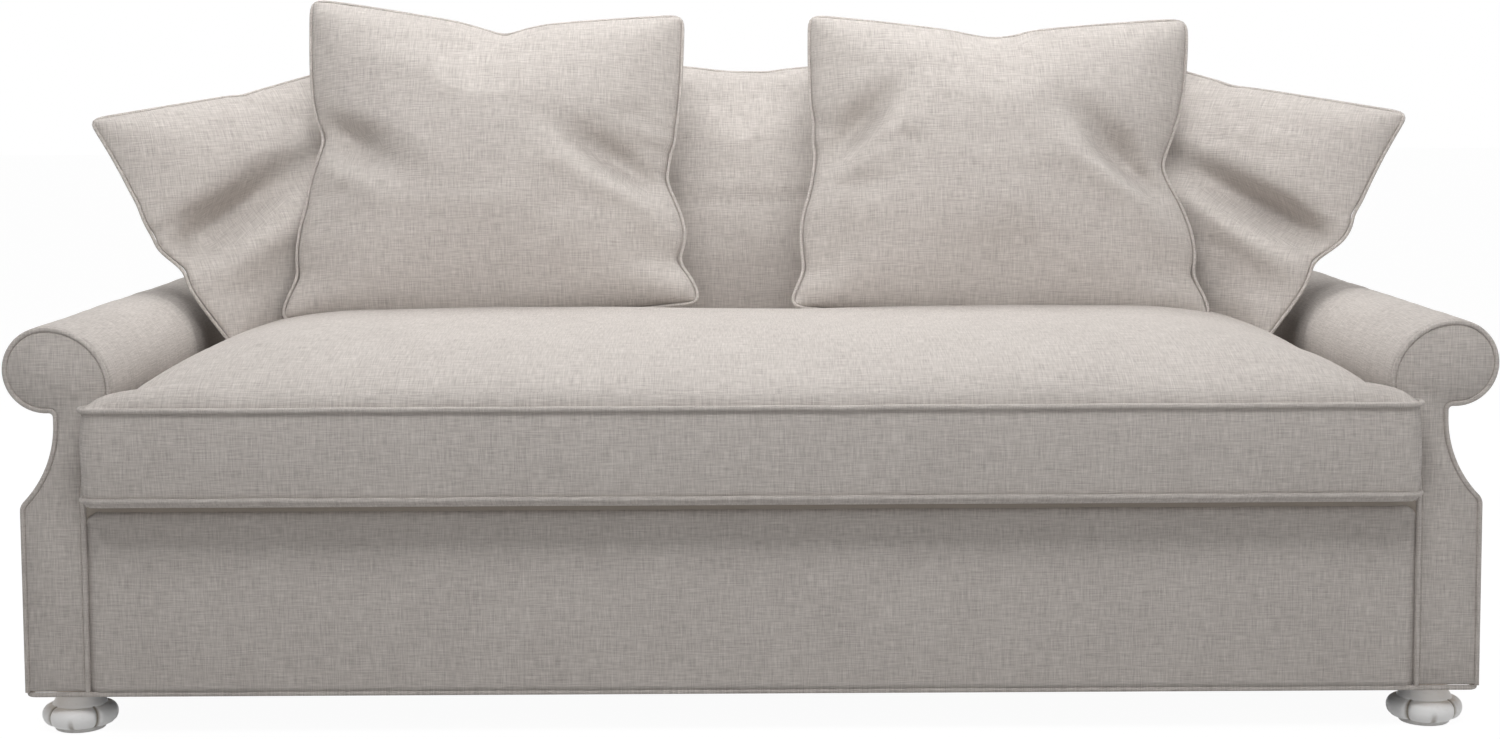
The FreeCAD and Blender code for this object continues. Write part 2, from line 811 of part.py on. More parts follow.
def four_petals(height, crest):
    """One level of the carved foot: four arcs that swell between four valleys, in short runs."""
    valley = crest * (1 - size("foot_valley_depth / foot_diameter"))
    corners = []
    crests = []
    for quarter in range(4):
        valley_angle = math.radians(90 * quarter + 45)
        crest_angle = math.radians(90 * quarter + 90)
        corners.append(Vector(valley * math.cos(valley_angle), valley * math.sin(valley_angle), height))
        crests.append(Vector(crest * math.cos(crest_angle), crest * math.sin(crest_angle), height))
    points = []
    for quarter in range(4):
        petal = Part.Arc(corners[quarter], crests[quarter], corners[(quarter + 1) % 4]).toShape()
        points += spaced(petal, PETAL_COUNT)
    return points


def petal_levels():
    """Heights and radii of the petals, which swell from the disc and draw in to the neck."""
    widest = size("foot_diameter / 2")
    foot = size("foot_petal_diameter / 2")
    shoulder = size("(foot_neck_diameter / 2 + clearance) / (1 - foot_valley_depth / foot_diameter)")
    low = size("foot_disc_height")
    high = size("foot_disc_height + foot_petal_height")
    waist = low + PETAL_BELLY_SHARE * (high - low)
    levels = []
    for share in (0, 0.5, 1):
        levels.append((low + share * (waist - low), widest - (widest - foot) * (1 - share) ** 2))
    for share in (0.4, 0.7, 1):
        levels.append((waist + share * (high - waist), widest - (widest - shoulder) * share ** 2))
    return levels


def make_feet():
    petals = feature("foot_petals", flat_sided_loft([four_petals(*level) for level in petal_levels()]))
    disc = flat_sided_bar("foot_disc", TURNED_COUNT, "foot_disc_diameter", "foot_disc_height", "0", "0", "0")
    neck_bottom = "foot_disc_height + foot_petal_height"
    neck = flat_sided_bar("foot_neck", TURNED_COUNT, "foot_neck_diameter", f"foot_height - ({neck_bottom})",
                          "0", "0", neck_bottom)
    bore = rod("foot_bore", "stud_diameter + 2 * clearance", "stud_length", "0", "0",
               "foot_height + rail_thickness + stud_diameter - stud_length - clearance")
    turned = cut("foot_bored", fuse("foot_form", [disc, petals, neck]), bore)
    bind(turned, x="foot_x", y="foot_y")
    front_left = mirrored(turned, "front_left_foot_form")
    rear_right = mirrored(turned, "rear_right_foot_form", ALONG_Y, **{"Base.y": "foot_middle"})
    rear_left = mirrored(rear_right, "rear_left_foot_form")
    node(turned, "front_right_foot")
    node(front_left, "front_left_foot")
    node(rear_right, "rear_right_foot")
    node(rear_left, "rear_left_foot")


def make_foot_fasteners():
    """A stud in each foot, and the tee nut that it screws into, pressed into the base board from above."""
    studs = []
    nuts = []
    for y in ("foot_y", "2 * foot_middle - foot_y"):
        stud = rod("foot_stud", "stud_diameter", "stud_length", "foot_x", y,
                   "base_board_top + stud_diameter - stud_length")
        flange = flat_sided_bar("tee_nut_plate", 6, "tee_nut_flange", "tee_nut_wall", "foot_x", y,
                                "base_board_top")
        barrel = flat_sided_bar("tee_nut_tube", 6, "tee_nut_barrel", "0.8 * rail_thickness", "foot_x", y,
                                "base_board_top - 0.8 * rail_thickness")
        bore = rod("tee_nut_thread", "stud_diameter + 2 * clearance", "2 * rail_thickness", "foot_x", y,
                   "base_board_top - 1.5 * rail_thickness")
        nut = cut("tee_nut", fuse("tee_nut_blank", [flange, barrel]), bore)
        studs += [stud, mirrored(stud, "foot_stud_left")]
        nuts += [nut, mirrored(nut, "tee_nut_left")]
    node(group("foot_studs", studs), "foot_hanger_bolts")
    node(group("tee_nuts", nuts), "foot_tee_nuts")


# The seat cushion

def cushion_levels():
    """Heights of the cushion's levels, each with how far its outline stands in from the welts."""
    bottom_welt = size("cushion_bottom_welt")
    top_welt = size("cushion_bottom_welt + cushion_boxing")
    crown = size("cushion_crown")
    shoulder = size("cushion_shoulder")
    levels = [
        (size("deck_height + clearance"), size("cushion_underside_inset")),
        (bottom_welt, 0),
        ((bottom_welt + top_welt) / 2, -size("cushion_side_bulge")),
        (top_welt, 0),
    ]
    steps = 5
    for step in range(1, steps + 1):
        share = step / steps
        levels.append((top_welt + crown * math.sin(math.radians(90 * share)), shoulder * share ** 1.6))
    return levels


def cushion_frame(inset):
    """Half width, front, rear and the back of the nose, for an outline that stands in by an inset."""
    room = size("clearance + welt_diameter + cushion_side_bulge")
    nose_front = size("front_plane - nose_overhang + welt_diameter + clearance")
    nose_back = size("front_plane") - room
    front = nose_front + inset
    notch = max(nose_back - min(inset, 0), front + (nose_back - nose_front) / 2)
    return size("channel_half") - room - inset, front, size("back_line") - room - inset, notch


def cushion_edges(height, inset):
    """One level of the bench cushion in plan: a body between the arms, and a nose that flares before them."""
    half, front, rear, notch = cushion_frame(inset)
    corner = (notch - front) / 2
    flare_left = max(0.04, 1 - max(inset, 0) / size("cushion_flare_fade"))
    ear = size("cushion_flare") * flare_left
    slope = size("cushion_ear_slope") * flare_left
    rear_corner = size("cushion_corner_radius")

    def point(x, y):
        return Vector(x, y, height)

    def right_side(sign):
        """The edges of one side, from the rear corner to the front corner."""
        wide = sign * half
        flared = sign * (half + ear)
        rear_start = point(wide - sign * rear_corner, rear)
        rear_end = point(wide, rear - rear_corner)
        neck = point(wide, notch)
        ear_back = point(flared, notch - slope)
        ear_front = point(flared, front + corner)
        nose_end = point(flared - sign * corner, front)
        return [
            arc_about(point(rear_start.x, rear_end.y), rear_start, rear_end),
            line(rear_end, neck),
            line(neck, ear_back),
            line(ear_back, ear_front),
            arc_about(point(nose_end.x, ear_front.y), ear_front, nose_end),
        ], rear_start, nose_end

    right, right_rear, right_front = right_side(1)
    left, left_rear, left_front = right_side(-1)
    left_run = [reverse(edge) for edge in reversed(left)]
    middle = point(0, rear)
    front = [line(right_front, left_front)]
    return [line(middle, right_rear)] + right + front + left_run + [line(left_rear, middle)]


def reverse(edge):
    """The same edge, run from its end to its start."""
    first, last = edge.FirstParameter, edge.LastParameter
    middle = edge.valueAt((first + last) / 2)
    if isinstance(edge.Curve, Part.Line):
        return line(edge.valueAt(last), edge.valueAt(first))
    return Part.Arc(edge.valueAt(last), middle, edge.valueAt(first)).toShape()


def make_cushion():
    levels = [run_points(cushion_edges(*level), CORNER_ANGLE) for level in cushion_levels()]
    form = feature("cushion_form", flat_sided_loft(levels))
    jacket = "(clearance + welt_diameter + cushion_side_bulge + cushion_jacket)"
    reach = f"channel_half - {jacket}"
    front = f"front_plane + {jacket}"
    rear = f"back_line - {jacket}"
    bottom = "cushion_bottom_welt + clearance"
    top = "cushion_bottom_welt + cushion_boxing"
    core = box("cushion_core", (f"-({reach})", reach), (front, rear), (bottom, top))
    room = box("cushion_room", (f"-({reach}) - clearance", f"{reach} + clearance"),
               (f"{front} - clearance", f"{rear} + clearance"),
               (f"{bottom} - clearance", f"{top} + clearance"))
    node(cut("cushion_cover", form, room), "seat_cushion_cover")
    node(core, "seat_cushion_core")
    spread = size("welt_diameter / 2 + clearance")
    cords = []
    for name, height in (("bottom", size("cushion_bottom_welt")), ("top", size(top))):
        points = run_points(cushion_edges(height, -spread), CORNER_ANGLE)
        cords.append(six_sided_tube(points, size("welt_diameter"), ALONG_Z, True))
        node(feature(f"cushion_{name}_cord", cords[-1]), f"seat_cushion_{name}_welt")
    return Part.Compound([form.Shape] + cords)


# The pillows

def pillow_outline(corners, draws, radius, grow):
    """Points of a four-sided seam with rounded corners and sides drawn in; grow moves it outwards."""
    center = sum(corners, Vector()) * (1 / len(corners))
    sides = []
    for index, draw in enumerate(draws):
        start = corners[index]
        end = corners[(index + 1) % len(corners)]
        half = (end - start).Length / 2
        middle = (start + end) * 0.5
        inwards = Vector(start.z - end.z, 0, end.x - start.x).normalize()
        if inwards.dot(center - middle) < 0:
            inwards = inwards * -1
        bend = (half ** 2 + draw ** 2) / (2 * draw)
        sides.append((middle + inwards * (draw - bend), bend))

    bends = []
    for index, corner in enumerate(corners):
        hub_a, bend_a = sides[index - 1]
        hub_b, bend_b = sides[index]
        bends.append(crossing(hub_a, bend_a + radius, hub_b, bend_b + radius, corner))

    def touch(side, bend):
        hub, reach = sides[side]
        return towards(hub, bends[bend], reach - grow)

    points = []
    count = len(corners)
    for index in range(count):
        following = (index + 1) % count
        side = arc_about(sides[index][0], touch(index, index), touch(index, following))
        corner = arc_about(bends[following], touch(index, following), touch(following, following))
        points += spaced(side, SEAM_COUNT) + spaced(corner, CORNER_COUNT)
    return points


def crossing(center_a, reach_a, center_b, reach_b, near):
    """The point at two distances from two centres that lies nearer to a third point."""
    apart = center_b - center_a
    span = apart.Length
    along = (reach_a ** 2 - reach_b ** 2 + span ** 2) / (2 * span)
    aside = math.sqrt(max(0, reach_a ** 2 - along ** 2))
    foot = center_a + apart * (along / span)
    across = Vector(apart.z, 0, -apart.x) * (aside / span)
    return min((foot + across, foot - across), key=lambda spot: (spot - near).Length)


def seam_draws():
    """How far each side of a pillow's seam is drawn in: the side that it stands on, then the other three."""
    return [size("pillow_foot_draw")] + [size("pillow_draw")] * 3


def pillow_form(corners, thickness):
    """A knife-edged pillow: its seam's outline, smaller towards the crown of each face."""
    center = sum(corners, Vector()) * (1 / len(corners))
    seam = pillow_outline(corners, seam_draws(), size("pillow_corner_radius"), 0)
    levels = []
    for side, shares in ((-1, PILLOW_SHARES), (1, reversed(PILLOW_SHARES[:-1]))):
        for share in shares:
            rise = ((1 - share ** 2) / (1 - PILLOW_SHARES[0] ** 2)) ** 0.6
            depth = Vector(0, side * rise * thickness / 2, 0)
            levels.append([center + (point - center) * share + depth for point in seam])
    return flat_sided_loft(levels)


def pillow_cord(corners):
    """The welt that lies round a pillow's seam."""
    diameter = size("welt_diameter")
    spread = diameter / 2 + size("clearance")
    points = pillow_outline(corners, seam_draws(), size("pillow_corner_radius"), spread)
    return six_sided_tube(points, diameter, ALONG_Y, True)


def four_corners(bottom_width, inner_reach, inner_height, outer_reach, outer_height):
    """A pillow's corners in its own plane, from the inner foot round by the outer foot and the outer top."""
    return [
        Vector(-bottom_width / 2, 0, 0),
        Vector(bottom_width / 2, 0, 0),
        Vector(outer_reach, 0, outer_height),
        Vector(-inner_reach, 0, inner_height),
    ]


def pillow_place(cord, across, offset, yaw, cushion):
    """Where a pillow stands: slid down along the back at an offset, until its welt lies on the cushion."""
    lean = math.radians(size("back_lean"))
    down = Vector(0, -math.sin(lean), -math.cos(lean))
    turn = Rotation(ALONG_Z, -yaw).multiply(Rotation(ALONG_X * -1, size("back_lean")))
    height = size("cushion_bottom_welt + cushion_boxing + cushion_crown + welt_diameter")
    y = size("back_line") + (height - size("deck_height")) * math.tan(lean) - offset / math.cos(lean)
    spot = Vector(across, y, height)
    clearance = size("clearance")
    gap = clearance
    while gap > clearance / 10:
        resting = cord.copy()
        resting.Placement = Placement(spot, turn)
        gap = resting.distToShape(cushion)[0] - clearance
        spot += down * gap
    return Placement(spot, turn)


def make_pillow(name, corners, thickness, across, offset, yaw, cushion):
    pillow = feature(name + "_form", pillow_form(corners, thickness))
    cord = feature(name + "_cord", pillow_cord(corners))
    pillow.Placement = pillow_place(cord.Shape, across, offset, yaw, cushion)
    cord.Placement = pillow.Placement
    return pillow, cord


def make_pillows(cushion):
    center = four_corners(
        size("center_pillow_width"),
        size("center_pillow_width / 2"), size("center_pillow_height"),
        size("center_pillow_width / 2"), size("center_pillow_height"))
    thickness = size("center_pillow_thickness")
    offset = thickness / 2 + size("clearance")
    pillow, cord = make_pillow("center_pillow", center, thickness, 0, offset, 0, cushion)
    node(pillow, "center_pillow")
    node(cord, "center_pillow_welt")

    front = four_corners(
        size("front_pillow_bottom_width"),
        size("front_pillow_top_width / 2"), size("front_pillow_inner_height"),
        size("front_pillow_top_width / 2"), size("front_pillow_outer_height"))
    corner = four_corners(
        size("corner_pillow_bottom_width"),
        size("corner_pillow_inner_reach"), size("corner_pillow_inner_height"),
        size("corner_pillow_ear_reach"), size("corner_pillow_ear_height"))
    pairs = (
        ("front_{}_pillow", front, "front_pillow", 0.0),
        ("{}_corner_pillow", corner, "corner_pillow", size("corner_pillow_yaw")),
    )
    for name, corners, alias, yaw in pairs:
        right = name.format("right")
        left = name.format("left")
        pillow, cord = make_pillow(right, corners, size(alias + "_thickness"), size(alias + "_center"),
                                   size(alias + "_offset"), yaw, cushion)
        node(pillow, right)
        node(mirrored(pillow, left + "_form"), left)
        node(cord, right + "_welt")
        node(mirrored(cord, left + "_cord"), left + "_welt")


def write_parts():
    """Check every object and every piece, then write one file for each piece."""
    doc.recompute()
    for thing in doc.Objects:
        if "Invalid" in thing.State or "Error" in thing.State:
            raise RuntimeError(f"{thing.Label} did not build: {thing.State}")
    for piece in NODES:
        if piece.Shape.isNull() or not piece.Shape.isValid():
            raise RuntimeError(f"{piece.Label} has no valid shape")
    os.makedirs("parts", exist_ok=True)
    for piece in NODES:
        piece.Shape.exportStep(f"parts/{piece.Label}.step")
    print(len(NODES), "pieces")


bores = make_arms()
make_arm_bolts()
make_seat_box(bores)
make_corner_blocks()
make_deck()
make_front_panel()
make_base_welt()
make_back()
make_back_uprights()
make_back_webbing()
make_outside_back()
make_feet()
make_foot_fasteners()
make_pillows(make_cushion())
write_parts()
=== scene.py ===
"""A linen sofa with serpentine rolled arms, a bench cushion, loose pillows and carved feet."""
import json
import math
from collections import namedtuple
from dataclasses import dataclass

import bmesh
import bpy
import numpy as np
from bpy.props import FloatProperty, FloatVectorProperty, IntProperty, PointerProperty
from bpy.types import Operator, Panel, PropertyGroup
from mathutils import Matrix, Vector, noise


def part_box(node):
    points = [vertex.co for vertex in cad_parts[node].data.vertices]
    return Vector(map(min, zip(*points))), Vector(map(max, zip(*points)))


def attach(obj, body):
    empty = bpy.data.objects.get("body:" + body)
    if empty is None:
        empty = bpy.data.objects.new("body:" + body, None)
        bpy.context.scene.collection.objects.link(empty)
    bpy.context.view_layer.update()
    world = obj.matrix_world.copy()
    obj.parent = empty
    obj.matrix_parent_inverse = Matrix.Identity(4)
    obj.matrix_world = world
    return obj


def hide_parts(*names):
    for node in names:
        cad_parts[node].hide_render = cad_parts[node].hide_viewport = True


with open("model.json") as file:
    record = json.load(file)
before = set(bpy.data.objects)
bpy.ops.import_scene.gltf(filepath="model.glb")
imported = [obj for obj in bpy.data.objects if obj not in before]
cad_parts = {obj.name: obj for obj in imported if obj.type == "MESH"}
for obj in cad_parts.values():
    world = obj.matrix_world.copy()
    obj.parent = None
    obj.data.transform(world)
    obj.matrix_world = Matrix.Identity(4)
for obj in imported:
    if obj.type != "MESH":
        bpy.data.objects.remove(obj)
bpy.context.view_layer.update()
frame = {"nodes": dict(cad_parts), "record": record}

bl_info = {
    "name": "Serpentine Arm Sofa",
    "version": (1, 0, 0),
    "blender": (4, 5, 0),
    "location": "View3D > Sidebar > Sofa",
    "description": "Builds a linen sofa with serpentine rolled arms, loose pillows and carved feet",
    "category": "Add Mesh",
}

ARM_LOW, ARM_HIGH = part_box("right_arm_cover")
FACING_LOW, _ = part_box("right_arm_front_cover")
PANEL_LOW, PANEL_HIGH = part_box("front_panel_cover")
CUSHION_LOW, CUSHION_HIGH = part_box("seat_cushion_cover")
TOP_WELT_LOW, TOP_WELT_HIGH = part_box("seat_cushion_top_welt")
BOTTOM_WELT_LOW, BOTTOM_WELT_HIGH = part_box("seat_cushion_bottom_welt")
FOOT_LOW, FOOT_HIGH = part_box("front_right_foot")
BACK_LOW, BACK_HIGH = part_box("back_cover")
DUST_LOW, DUST_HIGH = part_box("dust_cover")
# How far the nose of the CAD cushion flares, and the photograph's size and horizon in its own pixels
CAD_FLARE = 0.033
PHOTO_WIDTH = 1500
PHOTO_HEIGHT = 739
HORIZON = 87


# Settings

def length(name, description, default):
    return FloatProperty(name=name, description=description, default=default, unit="LENGTH", precision=4)


def factor(name, description, default):
    return FloatProperty(name=name, description=description, default=default)


def slant(name, description, degrees):
    return FloatProperty(name=name, description=description, default=math.radians(degrees), subtype="ANGLE")


def number(name, description, default, least):
    return IntProperty(name=name, description=description, default=default, min=least)


def tone(name, description, default):
    return FloatVectorProperty(name=name, description=description, default=default, size=3, subtype="COLOR",
                               min=0, max=1)


class ArmSettings(PropertyGroup):
    """The arm's outline, seen from the front."""

    roll_outer: length("Outer roll", "Radius of the roll's outer half", 0.062)
    roll_inner: length("Inner roll", "Radius of the roll's inner half", 0.093)
    waist_inset: length("Waist", "How far the waist stands in from the roll", 0.071)
    waist_run: length("Waist run", "Straight run below the crease", 0.010)
    sweep: length("Sweep", "Radius of the concave sweep", 0.160)
    shoulder: length("Shoulder", "Radius of the shoulder on the base", 0.020)
    crease: length("Crease", "Radius of the crease under the roll", 0.006)
    base_inset: length("Base inset", "How far the base stands in from the roll", 0.020)
    base_width: length("Base width", "Thickness of the arm at its base", 0.094)
    softness: length("Softness", "Unevenness of the stuffed roll", 0.0016)
    wall: length("Cloth", "Thickness of the arm's cloth", 0.002)
    facing_back: length("Facing", "How far the facing's face lies behind the front of its welt", 0.0015)
    facing_depth: length("Facing depth", "How far the facing's edge dives back beside its welt", 0.009)
    facing_rim: length("Facing rim", "Width of the facing's diving edge", 0.0035)


class PanelSettings(PropertyGroup):
    """The tall front panel."""

    corner: length("Panel corners", "Radius of the front panel's top corners", 0.022)
    drop: length("Panel drop", "How far the front panel's rolled edge lies below the deck", 0.011)
    edge: length("Panel edge", "Width of the front panel's rolled edge", 0.008)
    dive: length("Panel dive", "How far the rolled edge dives back", 0.006)
    wall: length("Panel cloth", "Thickness of the front panel's cloth and lining", 0.004)
    lining: length("Lining", "Thickness of the strip of lining above the front panel", 0.0015)
    lining_tuck: length("Lining tuck", "How far the strip of lining reaches down behind the panel", 0.02)
    base_corner: length("Base corners", "Radius of the base welt at the front corners", 0.012)


class SeatSettings(PropertyGroup):
    """The bench cushion."""

    crown: length("Crown", "Rise of the cushion's top above its welt", 0.080)
    edge_puff: length("Edge puff", "Rise of the top right beside its welt", 0.006)
    shoulder: length("Crown run", "How far the crown keeps rising from the edge", 0.34)
    flare: length("Ears", "How far the nose flares in front of the arms", 0.046)
    nose: length("Nose", "Depth of the nose in front of the arms", 0.040)
    corner: length("Corners", "Radius of the cushion's corners", 0.024)
    under_edge: length("Under edge", "Radius of the cushion's edge below its bottom welt", 0.018)
    bulge: length("Boxing bulge", "Swell of the boxing between its welts", 0.005)
    uneven: length("Softness", "Unevenness of the cushion's top", 0.0070)
    columns: number("Columns", "Columns of the cushion's mesh", 190, 20)
    rows: number("Rows", "Rows of the cushion's mesh", 90, 20)


class PillowSettings(PropertyGroup):
    """The loose pillows."""

    cells: number("Cells", "Cells along each side of a pillow's panel", 64, 12)
    frames: number("Frames", "Steps that a pillow case is blown up for", 28, 2)
    draw: factor("Draw", "Share of the case's shrinkage that its seam keeps", 0.16)
    fullness: factor("Fullness", "Lower values fill a pillow nearer to its seam", 0.72)
    sag: length("Sag", "How far the face hangs over the seam that a pillow stands on", 0.020)
    sink: length("Sink", "How far the middle of a pillow's foot sinks into the cushion", 0.014)
    curl: length("Curl", "How far a corner pillow's outer foot comes forward along the arm", 0.085)
    drop: length("Drop", "How far a corner pillow's outer foot hangs on the cushion's side", 0.050)
    ripple: length("Ripple", "Height of the ripples in the cloth", 0.0022)
    welt: length("Welt", "Diameter of a pillow's welt", 0.0056)
    pressure: factor("Pressure", "Force that fills a pillow case", 5.0)
    side: length("Side", "Side of the square that a pillow case is cut from", 0.65)
    corner: length("Corners", "Radius of a pillow's corners", 0.011)
    lean: slant("Lean", "How far a pillow leans back", 12)
    yaw: slant("Turn", "How far a corner pillow turns to the middle", 34)


class BackSettings(PropertyGroup):
    """The tight back behind the pillows."""

    lean: slant("Lean", "How far the back's face leans", 12)
    edge: length("Edge", "Radius of the back's stuffed ends", 0.020)
    crown: length("Crown", "Swell of the back's face", 0.007)
    softness: length("Softness", "Unevenness of the stuffed face", 0.0014)
    outside_edge: length("Outside edge", "Radius of the outside back's edges", 0.002)


class TrimSettings(PropertyGroup):
    """Welts and staples."""

    welt: length("Welt", "Diameter of the welts", 0.0075)
    staple_gap: length("Staple gap", "Distance between the staples of the dust cover", 0.045)
    staple_inset: length("Staple inset", "How far the staples stand in from the dust cover's edge", 0.012)


class FootSettings(PropertyGroup):
    """The carved feet."""

    petal_depth: factor("Valleys", "Depth of the valleys, as a share", 0.12)
    crease_depth: factor("Creases", "Depth of the creases, as a share", 0.05)
    around: number("Points around", "Points round a foot", 160, 24)


class FinishSettings(PropertyGroup):
    """Colours of the cloth, paint and frame."""

    linen_light: tone("Linen light", "Pale threads of the linen", (0.61, 0.566, 0.53))
    linen_dark: tone("Linen dark", "Dark threads of the linen", (0.37, 0.335, 0.312))
    lining: tone("Deck lining", "Cloth under the cushion", (0.33, 0.29, 0.25))
    dust: tone("Dust cover", "Cloth under the frame", (0.018, 0.018, 0.019))
    paint: tone("Paint", "Whitewash of the feet", (0.96, 0.955, 0.95))
    # The dark end of the feet's paint: worn wood in the grooves, and also painted shade under the petals and
    # on the disc
    worn_paint_and_shade: tone("Worn paint", "Wood that shows through in the grooves", (0.30, 0.26, 0.21))
    wood: tone("Wood", "Boards of the frame", (0.50, 0.35, 0.20))
    foam: tone("Foam", "Padding", (0.80, 0.74, 0.58))
    webbing: tone("Webbing", "Straps of the seat and the back", (0.22, 0.17, 0.11))
    steel: tone("Steel", "Bolts, nuts and staples", (0.55, 0.55, 0.56))


# Nodes

class Wire:
    """A node's output, with arithmetic that adds Math nodes."""

    def __init__(self, graph, socket):
        self.graph = graph
        self.socket = socket

    def beside(self, output):
        """Another output of the same node."""
        return Wire(self.graph, self.socket.node.outputs[output])

    def maths(self, operation, *values):
        return self.graph.add("ShaderNodeMath", {"operation": operation}, *values)

    def __add__(self, other):
        return self.maths("ADD", self, other)

    def __radd__(self, other):
        return self.maths("ADD", other, self)

    def __sub__(self, other):
        return self.maths("SUBTRACT", self, other)

    def __rsub__(self, other):
        return self.maths("SUBTRACT", other, self)

    def __mul__(self, other):
        return self.maths("MULTIPLY", self, other)

    def __rmul__(self, other):
        return self.maths("MULTIPLY", other, self)

    def clamped(self):
        return self.graph.add("ShaderNodeClamp", {}, self)


class Graph:
    """A node tree whose nodes all come from one method."""

    def __init__(self, tree):
        self.tree = tree

    def add(self, kind, settings, *values, output=None, **named):
        """A node with its settings set first, then the values or links of its sockets; gives one output.

        Values go to the sockets in order, or by name, where an underscore stands for a space.
        """
        node = self.tree.nodes.new(kind)
        for key, value in settings.items():
            setattr(node, key, value)
        for socket, value in zip([socket for socket in node.inputs if socket.enabled], values):
            self.feed(socket, value)
        for key, value in named.items():
            self.feed(node.inputs[key.replace("_", " ")], value)
        outputs = {socket.name: socket for socket in node.outputs if socket.enabled}
        return Wire(self, outputs[output] if output else next(iter(outputs.values()), None))

    def feed(self, socket, value):
        if isinstance(value, Wire):
            self.tree.links.new(value.socket, socket)
        else:
            socket.default_value = value


class Shader(Graph):
    """The nodes of a material or of the world, about the surface node that it starts with."""

    def __init__(self, block, surface):
        block.use_nodes = True
        super().__init__(block.node_tree)
        self.block = block
        self.surface = self.tree.nodes[surface]

    def set(self, **values):
        """Values or links for the surface; a name's underscores stand for spaces."""
        for key, value in values.items():
            self.feed(self.surface.inputs[key.replace("_", " ")], value)

    def mixed(self, share, low, high):
        """A colour between two colours."""
        return self.add("ShaderNodeMix", {"data_type": "RGBA"}, share, (*low, 1), (*high, 1))

    def on_piece(self):
        """A piece's own place, in metres."""
        return self.add("ShaderNodeTexCoord", {}, output="Object")

    def cloud(self, place, scale, detail=2.0):
        """Noise of a place, stretched by a scale for each axis."""
        spread = self.add("ShaderNodeMapping", {}, Vector=place, Scale=scale)
        return self.add("ShaderNodeTexNoise", {}, Vector=spread, Scale=1.0, Detail=detail)

    def bump(self, height, strength, distance):
        self.set(Normal=self.add("ShaderNodeBump", {}, Height=height, Strength=strength, Distance=distance))

    def seen(self):
        """1 for rays that show a surface, straight or in metal or glass, and 0 for light that bounces."""
        camera = self.add("ShaderNodeLightPath", {}, output="Is Camera Ray")
        glossy = camera.beside("Is Glossy Ray")
        through = camera.beside("Is Transmission Ray")
        return (camera + glossy + through).clamped()


# Finishes

# The weave, in threads: how far a thread keeps its shade, and how wide and long a slub is; mottles per metre
THREAD_RUN = 14
SLUB_WIDTH = 2.2
SLUB_RUN = 45
MOTTLES = 9


def new_finish(name):
    return Shader(bpy.data.materials.new(name), "Principled BSDF")


def toned(colour, times, lift=0.0):
    """A paler or darker colour."""
    return tuple(min(1, channel * times + lift) for channel in colour)


def woven(name, light, dark, thread=0.0017, contrast=1.4):
    """Plain weave with slubs: threads each way on the cloth's own map, in metres."""
    shader = new_finish(name)
    place = shader.add("ShaderNodeUVMap", {"uv_map": "weave"})
    fine = 1 / thread
    warp = shader.cloud(place, (fine, fine / THREAD_RUN, 1))
    weft = shader.cloud(place, (fine / THREAD_RUN, fine, 1))
    slub_up = shader.cloud(place, (fine / SLUB_WIDTH, fine / SLUB_RUN, 1), 1.0)
    slub_across = shader.cloud(place, (fine / SLUB_RUN, fine / SLUB_WIDTH, 1), 1.0)
    mottle = shader.cloud(place, (MOTTLES, MOTTLES, 1), 3.0)
    threads = (warp - 0.5) + (weft - 0.5)
    slubs = (slub_up - 0.5) + (slub_across - 0.5)
    tint = 0.52 + contrast * (threads * 0.95 + slubs * 0.3) + (mottle - 0.5) * 0.3
    shader.set(Base_Color=shader.mixed(tint.clamped(), dark, light), Roughness=0.92 - (threads * 0.1),
               Specular_IOR_Level=0.25, Sheen_Weight=0.12, Sheen_Roughness=0.6)
    shader.bump(threads + slubs * 0.6, 0.55, thread * 0.5)
    return shader.block


def painted_wood(finish):
    """White paint that is worn thin on the edges and dark in the grooves, with painted shade where the petals
    meet the disc and on the disc below them.
    """
    shader = new_finish("whitewash")
    place = shader.on_piece()
    groove = shader.add("ShaderNodeAttribute", {"attribute_name": "groove"}, output="Fac")
    grain = shader.cloud(place, (60, 60, 260), 4.0)
    chips = shader.cloud(place, (120, 120, 120), 3.0)
    # The mask holds the grooves, the grain and chips of worn paint, and the painted shade under the petals
    # and on the disc
    wear_and_shade = (groove * 1.1 + (grain - 0.5) * 0.22 + (chips - 0.58) * 0.35).clamped()
    shader.set(Base_Color=shader.mixed(wear_and_shade, finish.paint, finish.worn_paint_and_shade), Roughness=0.42 + wear_and_shade * 0.35)
    shader.bump(grain + chips * 0.5, 0.15, 0.0006)
    return shader.block


def board_wood(finish):
    """Plain sawn boards, with grain along the sofa."""
    shader = new_finish("frame_board")
    place = shader.on_piece()
    grain = shader.cloud(place, (9, 70, 70), 5.0)
    rings = shader.cloud(place, (3, 22, 22), 2.0)
    shade = (grain * 0.7 + rings * 0.6 - 0.15).clamped()
    shader.set(Base_Color=shader.mixed(shade, finish.wood, toned(finish.wood, 1.35)),
               Roughness=0.62 + (grain - 0.5) * 0.2)
    shader.bump(grain, 0.2, 0.0008)
    return shader.block


def open_foam(finish):
    """Foam with open cells."""
    shader = new_finish("foam_pad")
    cells = shader.cloud(shader.on_piece(), (420, 420, 420), 2.0)
    shader.set(Base_Color=shader.mixed(cells, finish.foam, toned(finish.foam, 1.1)),
               Roughness=0.95 - cells * 0.1)
    shader.bump(cells, 0.3, 0.001)
    return shader.block


def strap_cloth(name, colour, pitch):
    """Coarse ribbed cloth, for straps and for the cloth under the frame."""
    shader = new_finish(name)
    place = shader.on_piece()
    ribs = shader.cloud(place, (1 / pitch, 1 / pitch, 1 / pitch), 2.0)
    fibre = shader.cloud(place, (900, 120, 900), 2.0)
    shade = (ribs * 0.6 + fibre * 0.4).clamped()
    shader.set(Base_Color=shader.mixed(shade, colour, toned(colour, 1.7, 0.01)),
               Roughness=0.85 + (fibre - 0.5) * 0.2)
    shader.bump(ribs + fibre, 0.35, 0.0006)
    return shader.block


